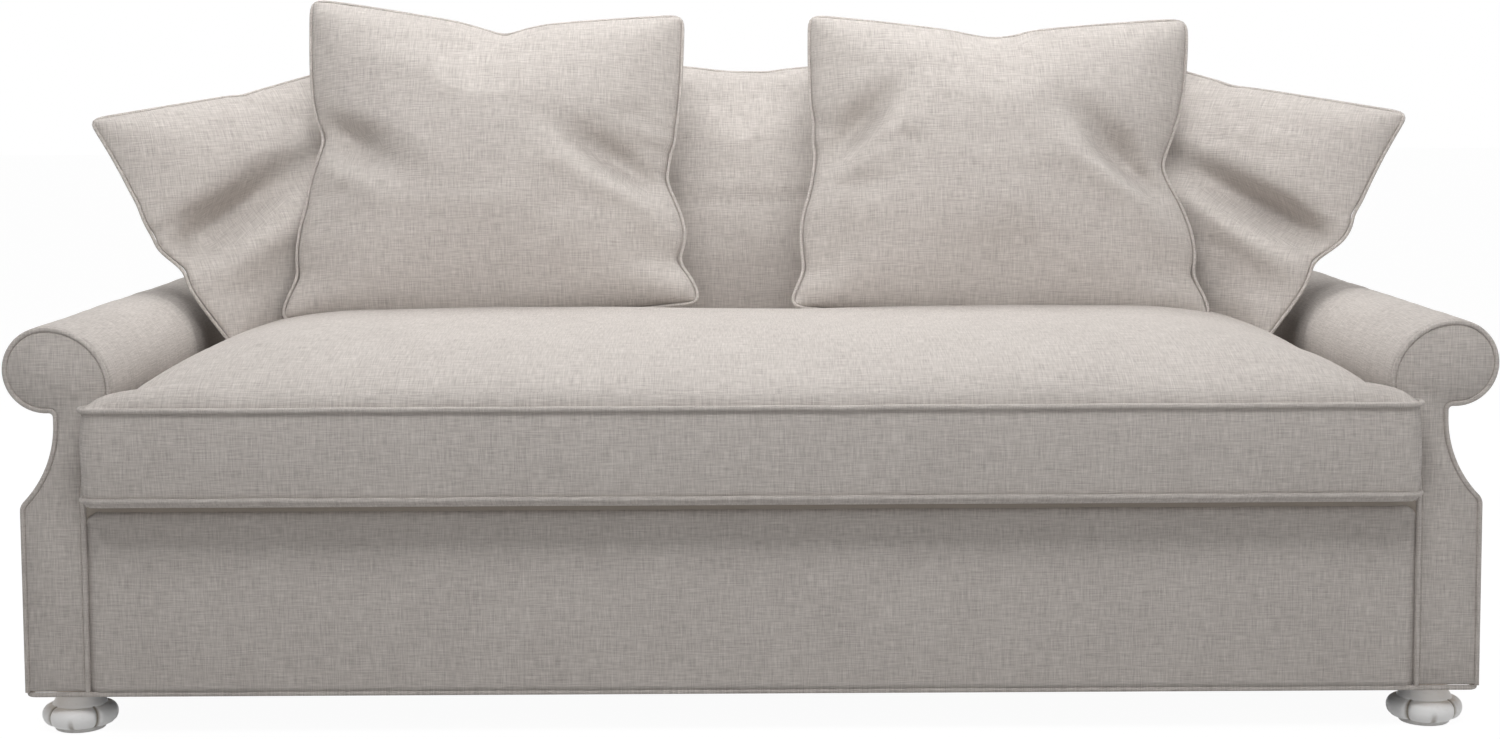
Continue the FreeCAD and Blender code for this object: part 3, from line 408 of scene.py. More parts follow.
def plain_steel(finish):
    """Plated steel, a little scuffed."""
    shader = new_finish("zinc_steel")
    scuff = shader.cloud(shader.on_piece(), (300, 300, 300), 3.0)
    shader.set(Base_Color=shader.mixed(scuff, toned(finish.steel, 0.7), finish.steel),
               Roughness=0.28 + scuff * 0.25, Metallic=1.0)
    return shader.block


MATERIALS = {}


def material(name):
    """Each finish is made once, when a piece first needs it."""
    finish = bpy.context.scene.sofa_finish
    makers = {
        "linen": lambda: woven("linen", finish.linen_light, finish.linen_dark),
        "deck_lining": lambda: woven("deck_lining", toned(finish.lining, 1.2), finish.lining, 0.0012, 0.7),
        "dust_lining": lambda: strap_cloth("dust_lining", finish.dust, 0.0012),
        "webbing": lambda: strap_cloth("webbing", finish.webbing, 0.003),
        "painted_wood": lambda: painted_wood(finish),
        "frame_wood": lambda: board_wood(finish),
        "foam": lambda: open_foam(finish),
        "steel": lambda: plain_steel(finish),
    }
    if name not in MATERIALS:
        MATERIALS[name] = makers[name]()
    return MATERIALS[name]


# Meshes

def lay_weave(mesh, turn=None):
    """Lay a map of the cloth on a mesh, in metres, from the side that each face looks to in its own axes."""
    places = np.empty(len(mesh.vertices) * 3, np.float32)
    mesh.vertices.foreach_get("co", places)
    places = places.reshape(-1, 3)
    normals = np.empty(len(mesh.polygons) * 3, np.float32)
    mesh.polygons.foreach_get("normal", normals)
    normals = normals.reshape(-1, 3)
    if turn is not None:
        own = np.array(turn.inverted(), np.float32)
        places = places @ own.T
        normals = normals @ own.T
    corners = np.empty(len(mesh.loops), np.int32)
    mesh.loops.foreach_get("vertex_index", corners)
    counts = np.empty(len(mesh.polygons), np.int32)
    mesh.polygons.foreach_get("loop_total", counts)
    facing = np.repeat(np.argmax(np.abs(normals), axis=1), counts)
    across = np.where(facing == 0, 1, 0)
    along = np.where(facing == 2, 1, 2)
    index = np.arange(len(corners))
    spots = places[corners]
    flat = np.stack([spots[index, across], spots[index, along]], axis=1)
    layer = mesh.uv_layers.get("weave") or mesh.uv_layers.new(name="weave")
    layer.data.foreach_set("uv", flat.astype(np.float32).ravel())


def mesh_from(name, vertices, faces, merge=1e-5, **marks):
    """A mesh with doubles merged, normals outwards and smooth shading; marks are values at its points."""
    mesh = bpy.data.meshes.new(name)
    mesh.from_pydata([tuple(vertex) for vertex in vertices], [], [tuple(face) for face in faces])
    for label, values in marks.items():
        mesh.attributes.new(label, "FLOAT", "POINT").data.foreach_set("value", values)
    shape = bmesh.new()
    shape.from_mesh(mesh)
    bmesh.ops.remove_doubles(shape, verts=shape.verts, dist=merge)
    bmesh.ops.recalc_face_normals(shape, faces=shape.faces)
    # A closed shape with deep dents can come out of this with every face turned inwards
    if all(edge.is_manifold for edge in shape.edges) and shape.calc_volume(signed=True) < 0:
        bmesh.ops.reverse_faces(shape, faces=shape.faces)
    for face in shape.faces:
        face.smooth = True
    shape.to_mesh(mesh)
    shape.free()
    return mesh


def grid_faces(rows, columns, start=0, ring=False):
    """Faces of a grid of points kept row by row; a ring joins its last column to its first."""
    faces = []
    for row in range(rows - 1):
        for column in range(columns if ring else columns - 1):
            following = (column + 1) % columns
            near = start + row * columns
            far = near + columns
            faces.append((near + column, near + following, far + following, far + column))
    return faces


def grid_border(rows, columns):
    """The border of a grid of points, from its first point along its first row and round."""
    border = list(range(columns))
    border += [row * columns + columns - 1 for row in range(1, rows)]
    border += [(rows - 1) * columns + column for column in range(columns - 2, -1, -1)]
    border += [row * columns for row in range(rows - 2, 0, -1)]
    return border


def square_to(points, index, closed=False):
    """The direction square to a run of points at one of them, on its right."""
    count = len(points)
    before = points[index - 1] if closed else points[max(0, index - 1)]
    after = points[(index + 1) % count] if closed else points[min(count - 1, index + 1)]
    along = (after - before).normalized()
    return Vector((along.y, -along.x))


def rounded(x, y, half, front, rear, radius):
    """A point of a rectangle moved into its rounded corner."""
    middle = (front + rear) / 2
    deep = (rear - front) / 2
    a = (abs(x) - (half - radius)) / radius
    b = (abs(y - middle) - (deep - radius)) / radius
    if a > 0 and b > 0:
        x = math.copysign(half - radius + radius * a * math.sqrt(1 - b * b / 2), x)
        y = middle + math.copysign(deep - radius + radius * b * math.sqrt(1 - a * a / 2), y - middle)
    return x, y


def quarter_round(share):
    """Height of a quarter circle at a share of its width, from 0 at its foot to 1."""
    return math.sqrt(max(0, 1 - (1 - share) ** 2))


# How far apart the noise of two seeds lies
SEED_STEP = (7.31, 3.17, 5.53)


def wobble(place, waves, seed):
    """Smooth noise between about -1 and 1 at a place, with about so many waves in a metre."""
    return noise.noise(Vector(place) * waves + Vector([seed * step for step in SEED_STEP]))


def evaluated_mesh(thing):
    """A plain mesh of an object with its modifiers applied."""
    graph = bpy.context.evaluated_depsgraph_get()
    graph.update()
    return bpy.data.meshes.new_from_object(thing.evaluated_get(graph))


def modified(data, kind, inputs=None, **settings):
    """The plain mesh that one modifier makes of a mesh or a curve; inputs are those of its tree, by name."""
    helper = bpy.data.objects.new("helper", data)
    bpy.context.scene.collection.objects.link(helper)
    modifier = helper.modifiers.new("helper", kind)
    for key, value in settings.items():
        setattr(modifier, key, value)
    if inputs:
        for item in modifier.node_group.interface.items_tree:
            if item.in_out == "INPUT" and item.name in inputs:
                modifier[item.identifier] = inputs[item.name]
    made = evaluated_mesh(helper)
    helper.modifiers.remove(modifier)
    bpy.data.objects.remove(helper)
    return made


def thickened(mesh, wall):
    """The same mesh as a closed shell, with its wall on the inside."""
    return modified(mesh, "SOLIDIFY", thickness=wall, offset=-1)


def place_piece(name, mesh, body, slot, nodes=()):
    """Put a finished mesh into the scene: material, body, slot and the nodes that it stands for."""
    piece = bpy.data.objects.new(name, mesh)
    bpy.context.scene.collection.objects.link(piece)
    mesh.materials.clear()
    mesh.materials.append(material(slot))
    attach(piece, body)
    if nodes:
        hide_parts(*nodes)
    return piece


def place_cloth(name, mesh, body, nodes, turn=None):
    """Put a finished piece of linen into the scene, with the weave laid on it."""
    lay_weave(mesh, turn)
    return place_piece(name, mesh, body, "linen", nodes)


# Welts and staples

WELT_SIDES = 12
STAPLE_SIZE = (0.010, 0.0012, 0.0008)


def new_tree(name, **inputs):
    """A tree with a geometry and named inputs; gives its graph and the wires of its inputs."""
    tree = bpy.data.node_groups.new(name, "GeometryNodeTree")
    kinds = {"Geometry": "NodeSocketGeometry", **inputs}
    for label, kind in kinds.items():
        tree.interface.new_socket(label, in_out="INPUT", socket_type=kind)
    tree.interface.new_socket("Geometry", in_out="OUTPUT", socket_type="NodeSocketGeometry")
    graph = Graph(tree)
    source = graph.add("NodeGroupInput", {})
    return graph, [source.beside(label) for label in kinds]


def finished_tree(graph, geometry, finish):
    """End a tree: instances are made real and get their material."""
    real = graph.add("GeometryNodeRealizeInstances", {}, Geometry=geometry)
    dressed = graph.add("GeometryNodeSetMaterial", {}, Geometry=real, Material=finish)
    graph.add("NodeGroupOutput", {}, Geometry=dressed)
    return graph.tree


def cord_tree():
    """A tree that sweeps a round cord along a curve."""
    graph, (path, radius, cloth) = new_tree("welt_cord", Radius="NodeSocketFloat", Cloth="NodeSocketMaterial")
    ring = graph.add("GeometryNodeCurvePrimitiveCircle", {}, Resolution=WELT_SIDES, Radius=radius)
    cord = graph.add("GeometryNodeCurveToMesh", {}, Curve=path, Profile_Curve=ring, Fill_Caps=True)
    return finished_tree(graph, graph.add("GeometryNodeSetShadeSmooth", {}, Geometry=cord), cloth)


def staple_tree():
    """A tree that sets staples along a curve, a fixed distance apart and in line with it."""
    graph, (path, gap, steel) = new_tree("dust_cover_staples", Gap="NodeSocketFloat",
                                         Steel="NodeSocketMaterial")
    spots = graph.add("GeometryNodeResampleCurve", {"mode": "LENGTH"}, Curve=path, Length=gap)
    staple = graph.add("GeometryNodeMeshCube", {}, Size=STAPLE_SIZE)
    aim = graph.add("FunctionNodeAlignEulerToVector", {"axis": "X", "pivot_axis": "Z"},
                    Vector=graph.add("GeometryNodeInputTangent", {}))
    row = graph.add("GeometryNodeInstanceOnPoints", {}, Points=spots, Instance=staple, Rotation=aim)
    return finished_tree(graph, row, steel)


def along_path(tree, points, cyclic, **inputs):
    """The plain mesh that a tree makes along a path."""
    line = bpy.data.curves.new("path_helper", "CURVE")
    line.dimensions = "3D"
    spline = line.splines.new("POLY")
    spline.points.add(len(points) - 1)
    for spot, point in zip(spline.points, points):
        spot.co = (*point, 1)
    spline.use_cyclic_u = cyclic
    return modified(line, "NODES", inputs, node_group=tree)


TREES = {}


def tree_for(maker):
    """Each tree is made once, when a piece first needs it."""
    if maker not in TREES:
        TREES[maker] = maker()
    return TREES[maker]


def lay_welt(name, points, cyclic, body, nodes, turn=None, diameter=None):
    """A welt along a path, as a piece of its own."""
    radius = (diameter or bpy.context.scene.sofa_trim.welt) / 2
    mesh = along_path(tree_for(cord_tree), points, cyclic, Radius=radius, Cloth=material("linen"))
    return place_cloth(name, mesh, body, nodes, turn)


# The arms

ARM_ROWS = 64
# How far the cover starts behind the welt's front, and the share of its length that is calm at each end
COVER_TUCK = 0.0035
CALM_END = 1 / 8
# The facing's inset in welts, and the loops of its edge: shares of the rim's width and of its depth
FACING_INSET = 0.75
FACING_LOOPS = ((0, 1), (0.4, 0.25), (1, 0))


def arc_points(center, start, end, steps):
    """Points on the shorter arc about a centre, without its last one."""
    first = math.atan2(start.y - center.y, start.x - center.x)
    last = math.atan2(end.y - center.y, end.x - center.x)
    sweep = (last - first + math.pi) % (2 * math.pi) - math.pi
    radius = (start - center).length
    angles = [first + sweep * step / steps for step in range(steps)]
    return [center + Vector((math.cos(angle), math.sin(angle))) * radius for angle in angles]


def line_points(start, end, steps):
    """Points on a straight run, without its last one."""
    return [start.lerp(end, step / steps) for step in range(steps)]


def toward(start, end, distance):
    return start + (end - start).normalized() * distance


def arm_outline(inset=0.0):
    """The right arm's outline in (x, z), from the foot of its outer side over the roll to the inner foot."""
    arm = bpy.context.scene.sofa_arm
    outermost = ARM_HIGH.x
    top = ARM_HIGH.z
    bottom = ARM_LOW.z
    deck = PANEL_HIGH.z
    base_outer = outermost - arm.base_inset
    base_inner = base_outer - arm.base_width
    waist = outermost - arm.waist_inset
    roll_x = outermost - arm.roll_outer
    outer = Vector((roll_x, top - arm.roll_outer))
    inner = Vector((roll_x, top - arm.roll_inner))
    crease_x = waist + arm.crease
    crease_drop = math.sqrt((arm.roll_outer + arm.crease) ** 2 - (crease_x - roll_x) ** 2)
    crease = Vector((crease_x, outer.y - crease_drop))
    sweep = Vector((waist + arm.sweep, crease.y - arm.waist_run))
    shoulder_x = base_outer - arm.shoulder
    shoulder_drop = math.sqrt((arm.sweep + arm.shoulder) ** 2 - (sweep.x - shoulder_x) ** 2)
    shoulder = Vector((shoulder_x, sweep.y - shoulder_drop))
    rise = inner.y - deck
    reach = roll_x - base_inner
    bend = (rise ** 2 + reach ** 2 - arm.roll_inner ** 2) / (2 * (arm.roll_inner - reach))
    inner_sweep = Vector((base_inner - bend, deck))

    foot = Vector((base_outer - inset, bottom))
    shoulder_start = Vector((base_outer - inset, shoulder.y))
    shoulder_end = toward(shoulder, sweep, arm.shoulder - inset)
    sweep_end = Vector((waist - inset, sweep.y))
    crease_start = Vector((waist - inset, crease.y))
    crease_end = toward(crease, outer, arm.crease + inset)
    side = outer + Vector((arm.roll_outer - inset, 0))
    crest = Vector((roll_x, top - inset))
    roll_end = toward(inner, inner_sweep, arm.roll_inner - inset)
    sweep_foot = Vector((base_inner + inset, deck))
    inner_foot = Vector((base_inner + inset, bottom))
    points = line_points(foot, shoulder_start, 10)
    points += arc_points(shoulder, shoulder_start, shoulder_end, 6)
    points += arc_points(sweep, shoulder_end, sweep_end, 20)
    points += line_points(sweep_end, crease_start, 2)
    points += arc_points(crease, crease_start, crease_end, 8)
    points += arc_points(outer, crease_end, side, 18)
    points += arc_points(outer, side, crest, 18)
    points += arc_points(inner, crest, roll_end, 30)
    points += arc_points(inner_sweep, roll_end, sweep_foot, 12)
    points += line_points(sweep_foot, inner_foot, 10)
    return points + [inner_foot]


def arm_cover(sign):
    """The stuffed cover of one arm: the outline carried from the facing to the back, a little uneven."""
    softness = bpy.context.scene.sofa_arm.softness
    outline = arm_outline()
    front = FACING_LOW.y + COVER_TUCK
    points = []
    for row in range(ARM_ROWS):
        share = row / (ARM_ROWS - 1)
        y = front + (ARM_HIGH.y - front) * share
        calm = min(1, share / CALM_END, (1 - share) / CALM_END)
        for index, point in enumerate(outline):
            place = (point.x, y, point.y)
            soft = wobble(place, waves=7, seed=1 + sign) + 0.4 * wobble(place, waves=22, seed=3)
            spot = point + square_to(outline, index) * (softness * calm * soft)
            points.append((sign * spot.x, y, spot.y))
    return mesh_from("arm_cover", points, grid_faces(ARM_ROWS, len(outline)))


def arm_facing(sign, inset):
    """One arm's flat facing: its edge dives back beside the welt."""
    arm = bpy.context.scene.sofa_arm
    outline = arm_outline(inset)
    count = len(outline)
    face = FACING_LOW.y + arm.facing_back
    points = []
    for inwards, back in FACING_LOOPS:
        for index, point in enumerate(outline):
            spot = point - square_to(outline, index, closed=True) * (arm.facing_rim * inwards)
            points.append((sign * spot.x, face + arm.facing_depth * back, spot.y))
    faces = grid_faces(len(FACING_LOOPS), count, ring=True) + [tuple(range(len(points) - count, len(points)))]
    return mesh_from("arm_facing", points, faces)


class SOFA_OT_arms(Operator):
    """Build both arms: stuffed covers, facings and the welts round the facings"""

    bl_idname = "sofa.arms"
    bl_label = "Arms"

    def execute(self, context):
        welt = context.scene.sofa_trim.welt
        wall = context.scene.sofa_arm.wall
        for side, sign in (("right", 1), ("left", -1)):
            cover = thickened(arm_cover(sign), wall)
            piece = place_cloth(f"{side}_arm_upholstery", cover, "frame", (f"{side}_arm_cover",))
            facing = thickened(arm_facing(sign, welt * FACING_INSET), wall)
            place_cloth(f"{side}_arm_facing", facing, "frame", (f"{side}_arm_front_cover",))
            path = [(sign * point.x, FACING_LOW.y + welt / 2, point.y) for point in arm_outline(welt / 2)]
            lay_welt(f"{side}_arm_facing_welt", path, False, "frame", (f"{side}_arm_welt",))
        return {"FINISHED"}


# The front panel

PANEL_COLUMNS = 150
PANEL_ROWS = 36
PANEL_SET_BACK = 0.001
PANEL_WAVE = 0.0012
PANEL_RIPPLE = 0.0006
LINING_GAP = 0.0005


def front_panel():
    """The front panel's face, nearly flat, with rounded top corners and an edge that dives back."""
    panel = bpy.context.scene.sofa_panel
    half = PANEL_HIGH.x
    top = PANEL_HIGH.z - panel.drop
    bottom = PANEL_LOW.z
    points = []
    for row in range(PANEL_ROWS):
        for column in range(PANEL_COLUMNS):
            x = half * (-1 + 2 * column / (PANEL_COLUMNS - 1))
            z = bottom + (top - bottom) * row / (PANEL_ROWS - 1)
            # The rectangle is taken to go on below the base, so that only its top corners are rounded
            x, z = rounded(x, z, half, 2 * bottom - top, top, panel.corner)
            edge = max(0, min(half - abs(x), top - z, panel.edge) / panel.edge)
            dive = panel.dive * (1 - quarter_round(edge))
            wave = PANEL_WAVE * wobble((x, 0, z), waves=5, seed=11)
            ripple = PANEL_RIPPLE * wobble((x, 0, z), waves=17, seed=12)
            points.append((x, PANEL_LOW.y + PANEL_SET_BACK + dive + (wave + ripple) * edge, z))
    return mesh_from("front_panel", points, grid_faces(PANEL_ROWS, PANEL_COLUMNS))


def deck_front_lining():
    """The strip of lining that shows between the front panel's rolled edge and the cushion."""
    panel = bpy.context.scene.sofa_panel
    side = PANEL_HIGH.x - LINING_GAP
    near = PANEL_HIGH.y - panel.lining
    far = PANEL_HIGH.y
    corners = ((-side, near), (side, near), (side, far), (-side, far))
    heights = (PANEL_HIGH.z - panel.drop - panel.lining_tuck, PANEL_HIGH.z)
    points = [(x, y, z) for z in heights for x, y in corners]
    mesh = mesh_from("deck_front_lining", points, grid_faces(2, 4, ring=True) + [(3, 2, 1, 0), (4, 5, 6, 7)])
    for face in mesh.polygons:
        face.use_smooth = False
    return mesh


def base_welt_path():
    """The way of the welt along the base, from one rear corner round the front to the other."""
    radius = bpy.context.scene.sofa_trim.welt / 2
    bend = bpy.context.scene.sofa_panel.base_corner
    low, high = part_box("base_welt")
    side = high.x - radius
    front = low.y + radius
    left_start = Vector((-side, front + bend))
    left_end = Vector((bend - side, front))
    right_start = Vector((side - bend, front))
    right_end = Vector((side, front + bend))
    path = [Vector((-side, high.y))]
    path += arc_points(Vector((bend - side, front + bend)), left_start, left_end, 8)
    path += line_points(left_end, right_start, 40)
    path += arc_points(Vector((side - bend, front + bend)), right_start, right_end, 8)
    path += [right_end, Vector((side, high.y))]
    return [(x, y, (low.z + high.z) / 2) for x, y in path]


class SOFA_OT_front_panel(Operator):
    """Build the tall front panel with its rounded top corners, and the welt along the base"""

    bl_idname = "sofa.front_panel"
    bl_label = "Front panel"

    def execute(self, context):
        panel = thickened(front_panel(), context.scene.sofa_panel.wall)
        place_cloth("front_panel", panel, "frame", ("front_panel_cover",))
        lining = deck_front_lining()
        lay_weave(lining)
        place_piece("deck_front_lining", lining, "frame", "deck_lining")
        lay_welt("base_edge_welt", base_welt_path(), False, "frame", ("base_welt",))
        return {"FINISHED"}


# The back

FLAT_ANGLE = math.radians(1)
SHARP_ANGLE = math.radians(35)
END_STEPS = 8
BACK_STEPS = 90


def softened_copy(node, width):
    """A copy of a frame solid with its loose triangles joined and its edges rounded."""
    mesh = frame["nodes"][node].data.copy()
    shape = bmesh.new()
    shape.from_mesh(mesh)
    bmesh.ops.remove_doubles(shape, verts=shape.verts, dist=1e-5)
    bmesh.ops.dissolve_limit(shape, angle_limit=FLAT_ANGLE, verts=shape.verts, edges=shape.edges)
    closed = [edge for edge in shape.edges if len(edge.link_faces) == 2]
    sharp = [edge for edge in closed if edge.calc_face_angle() > SHARP_ANGLE]
    bmesh.ops.bevel(shape, geom=sharp, offset=width, segments=3, profile=0.5, affect="EDGES",
                    clamp_overlap=True)
    bmesh.ops.dissolve_degenerate(shape, dist=1e-5, edges=shape.edges)
    for face in shape.faces:
        face.smooth = True
    bmesh.ops.triangulate(shape, faces=[face for face in shape.faces if len(face.verts) > 4])
    shape.to_mesh(mesh)
    shape.free()
    return mesh


def back_section():
    """The back's section in (depth, height), from the foot of its face over the roll and down its rear.

    Each point comes with its share of the way up the face, which is 1 past the face.
    """
    lean = bpy.context.scene.sofa_back.lean
    rise = BACK_HIGH.z - BACK_LOW.z
    room = (BACK_HIGH.y - BACK_LOW.y) * math.cos(lean) - rise * math.sin(lean)
    radius = room / (1 + math.cos(lean) - math.sin(lean))
    center = Vector((BACK_HIGH.y - radius, BACK_HIGH.z - radius))
    foot = Vector((BACK_LOW.y, BACK_LOW.z))
    roll_start = center + Vector((-math.cos(lean), math.sin(lean))) * radius
    crest = center + Vector((0, radius))
    roll_end = center + Vector((radius, 0))
    rear_foot = Vector((BACK_HIGH.y, BACK_LOW.z))
    face = line_points(foot, roll_start, 44)
    shares = [step / len(face) for step in range(len(face))]
    rest = arc_points(center, roll_start, crest, 10)
    rest += arc_points(center, crest, roll_end, 10)
    rest += line_points(roll_end, rear_foot, 20) + [rear_foot]
    return face + rest, shares + [1] * len(rest)


def stuffed_back():
    """The tight back: its section carried across, with a swelling face and rounded ends."""
    back = bpy.context.scene.sofa_back
    section, shares = back_section()
    half = BACK_HIGH.x
    ends = [back.edge * (1 - math.cos(math.pi / 2 * step / END_STEPS)) for step in range(END_STEPS)]
    flat = half - back.edge
    places = [end - half for end in ends]
    places += [2 * flat * step / BACK_STEPS - flat for step in range(BACK_STEPS + 1)]
    places += [half - end for end in reversed(ends)]
    points = []
    for x in places:
        near = max(0, back.edge - (half - abs(x)))
        inset = back.edge - math.sqrt(back.edge ** 2 - near ** 2)
        for index, (point, share) in enumerate(zip(section, shares)):
            face = (1 - (2 * share - 1) ** 4) * (1 - (x / half) ** 8)
            uneven = back.softness * wobble((x, point.x, point.y), waves=5, seed=51)
            spot = point - square_to(section, index) * ((back.crown + uneven) * face - inset)
            points.append((x, spot.x, max(BACK_LOW.z, spot.y)))
    size = len(section)
    faces = grid_faces(len(places), size, ring=True)
    faces += [tuple(range(size)), tuple(range(len(points) - size, len(points)))]
    return mesh_from("stuffed_back", points, faces)


class SOFA_OT_back(Operator):
    """Build the covers of the back, inside and outside"""

    bl_idname = "sofa.back"
    bl_label = "Back"

    def execute(self, context):
        piece = place_cloth("inside_back", stuffed_back(), "frame", ("back_cover",))
        outside = softened_copy("outside_back_cover", context.scene.sofa_back.outside_edge)
        place_cloth("outside_back", outside, "frame", ("outside_back_cover",))
        return {"FINISHED"}


# The seat cushion

# One row of the mesh in five lies in the nose
NOSE_PART = 5
CROWN_POWER = 0.625
CROWN_BLEND = 3
FLARE_RUN = 0.012
PUFF_RUN = 0.009
TOP_RIPPLE = 0.0016
BOXING_BANDS = 16
BOXING_SWELL = 0.8
BOXING_DENT = 0.0022
BOXING_RIPPLE = 0.0012
# How far the welt's middle stands out from the seam, in welts, and how far it wavers
WELT_STAND = 0.42
WELT_WAVER = 0.0008


def crown_share(distance, run):
    """How much of the crown's height is reached at a distance from the edge."""
    return math.sin(math.pi / 2 * min(1, max(0, distance / run) ** CROWN_POWER))


def cushion_half(y, half, flare, nose_end):
    """Half width of the cushion at a depth: the nose flares in front of the arms."""
    share = min(1, max(0, (nose_end - y) / FLARE_RUN))
    return half + flare * share * share * (3 - 2 * share)


def cushion_plan(half, front, rear):
    """The cushion from above, row by row: (x, y, half width there); its nose has rows of its own."""
    seat = bpy.context.scene.sofa_seat
    nose_end = front + seat.nose
    nose_rows = seat.rows // NOSE_PART
    rest_rows = seat.rows - 1 - nose_rows
    plan = []
    for row in range(seat.rows):
        y = front + seat.nose * row / nose_rows
        if row > nose_rows:
            y = nose_end + (rear - nose_end) * (row - nose_rows) / rest_rows
        wide = cushion_half(y, half, seat.flare, nose_end)
        for column in range(seat.columns):
            x = wide * (-1 + 2 * column / (seat.columns - 1))
            plan.append((*rounded(x, y, wide, front, rear, seat.corner), wide))
    return plan


def cushion_panels(plan, front, rear, top, bottom):
    """The crowned upper panel and the lower panel of the cushion."""
    seat = bpy.context.scene.sofa_seat
    upper = []
    lower = []
    for x, y, wide in plan:
        beside = crown_share(wide - abs(x), seat.shoulder)
        between = crown_share(min(y - front, rear - y), seat.shoulder)
        fall = min(1, (1 - beside) ** CROWN_BLEND + (1 - between) ** CROWN_BLEND)
        rise = 1 - fall ** (1 / CROWN_BLEND)
        edge = min(wide - abs(x), y - front, rear - y)
        uneven = seat.uneven * wobble((x, y, 0), waves=2.6, seed=21)
        uneven += TOP_RIPPLE * wobble((x, y, 0), waves=9, seed=22)
        puff = seat.edge_puff * (1 - math.exp(-max(0, edge) / PUFF_RUN))
        upper.append((x, y, top + puff + seat.crown * rise + uneven * min(1, rise * 2)))
        inside = min(1, edge / seat.under_edge)
        lower.append((x, y, bottom - (bottom - CUSHION_LOW.z) * quarter_round(inside)))
    return upper, lower


def cushion_boxing(edge, outwards, feet, heads):
    """The boxing from the lower panel's edge to the upper panel's: it swells and is a little dented."""
    bulge = bpy.context.scene.sofa_seat.bulge
    points = []
    for band in range(BOXING_BANDS + 1):
        share = band / BOXING_BANDS
        swell = math.sin(math.pi * share)
        for spot, out, foot, head in zip(edge, outwards, feet, heads):
            z = foot + (head - foot) * share
            dent = BOXING_DENT * wobble((spot.x, spot.y, z), waves=9, seed=31)
            ripple = BOXING_RIPPLE * wobble((spot.x * 2.2, spot.y, z * 0.6), waves=26, seed=32)
            moved = spot + out * (swell * (bulge * BOXING_SWELL + dent + ripple))
            points.append((moved.x, moved.y, z))
    return points


class SOFA_OT_seat_cushion(Operator):
    """Build the bench cushion: crowned panels, boxing that swells, and its two welts"""

    bl_idname = "sofa.seat_cushion"
    bl_label = "Seat cushion"

    def execute(self, context):
        seat = context.scene.sofa_seat
        welt = context.scene.sofa_trim.welt
        front = CUSHION_LOW.y + seat.bulge
        rear = CUSHION_HIGH.y - seat.bulge
        half = CUSHION_HIGH.x - CAD_FLARE - seat.bulge
        top = (TOP_WELT_LOW.z + TOP_WELT_HIGH.z) / 2
        bottom = (BOTTOM_WELT_LOW.z + BOTTOM_WELT_HIGH.z) / 2
        plan = cushion_plan(half, front, rear)
        upper, lower = cushion_panels(plan, front, rear, top, bottom)
        border = grid_border(seat.rows, seat.columns)
        edge = [Vector(plan[index][:2]) for index in border]
        outwards = [square_to(edge, index, closed=True) for index in range(len(edge))]
        feet = [lower[index][2] for index in border]
        heads = [upper[index][2] for index in border]
        boxing = cushion_boxing(edge, outwards, feet, heads)
        faces = grid_faces(seat.rows, seat.columns) + grid_faces(seat.rows, seat.columns, len(upper))
        faces += grid_faces(BOXING_BANDS + 1, len(edge), 2 * len(upper), ring=True)
        cushion = mesh_from("seat_cushion", upper + lower + boxing, faces, merge=2e-5)
        piece = place_cloth("bench_cushion", cushion, "seat_cushion", ("seat_cushion_cover",))
        for name, z in (("top", top), ("bottom", bottom)):
            path = []
            for spot, out in zip(edge, outwards):
                moved = spot + out * (welt * WELT_STAND)
                waver = WELT_WAVER * wobble((moved.x, moved.y, z), waves=12, seed=41)
                path.append((moved.x, moved.y, z + waver))
            lay_welt(f"bench_cushion_{name}_welt", path, True, "seat_cushion", (f"seat_cushion_{name}_welt",))
        return {"FINISHED"}


# The pillows

# A crease pressed into a pillow's face, and a pull in its seam; places are shares of the panel
Dent = namedtuple("Dent", "across up deep long wide angle")
Nip = namedtuple("Nip", "side at deep wide")


@dataclass
class PillowPlan:
    """One pillow: its corners from the lower left round, thickness, turn, dents and nips."""

    seed: int
    corners: tuple
    thick: float
    turn: int
    dents: tuple
    nips: tuple
    aside: float = 0.0

    def mirrored(self, seed):
        a, b, c, d = self.corners
        corners = tuple((-x, z) for x, z in (b, a, d, c))
        dents = tuple(dent._replace(across=1 - dent.across, angle=-dent.angle) for dent in self.dents)
        swap = {"left": "right", "right": "left", "top": "top"}
        nips = tuple(nip._replace(side=swap[nip.side], at=1 - nip.at if nip.side == "top" else nip.at)
                     for nip in self.nips)
        return PillowPlan(seed, corners, self.thick, -self.turn, dents, nips)


FRONT_LEFT = PillowPlan(
    seed=1, thick=0.196, turn=0, aside=0.002,
    corners=((-0.360, -0.012), (0.356, 0.014), (0.324, 0.514), (-0.318, 0.544)),
    dents=(
        Dent(0.10, 0.55, 0.070, 0.10, 0.028, -25),
        Dent(0.86, 0.45, 0.066, 0.11, 0.028, -28),
        Dent(0.53, 0.99, 0.022, 0.05, 0.09, 80),
        Dent(0.05, 0.10, 0.016, 0.07, 0.03, 35),
        Dent(0.93, 0.15, 0.018, 0.07, 0.03, -35),
    ),
    nips=(
        Nip("top", 0.52, 0.030, 0.42),
        Nip("top", 0.53, 0.016, 0.06),
        Nip("left", 0.42, 0.018, 0.45),
        Nip("left", 0.54, 0.020, 0.09),
        Nip("right", 0.36, 0.014, 0.40),
        Nip("right", 0.42, 0.026, 0.10),
        Nip("left", 0.13, 0.016, 0.06),
        Nip("right", 0.14, 0.026, 0.06),
    ))
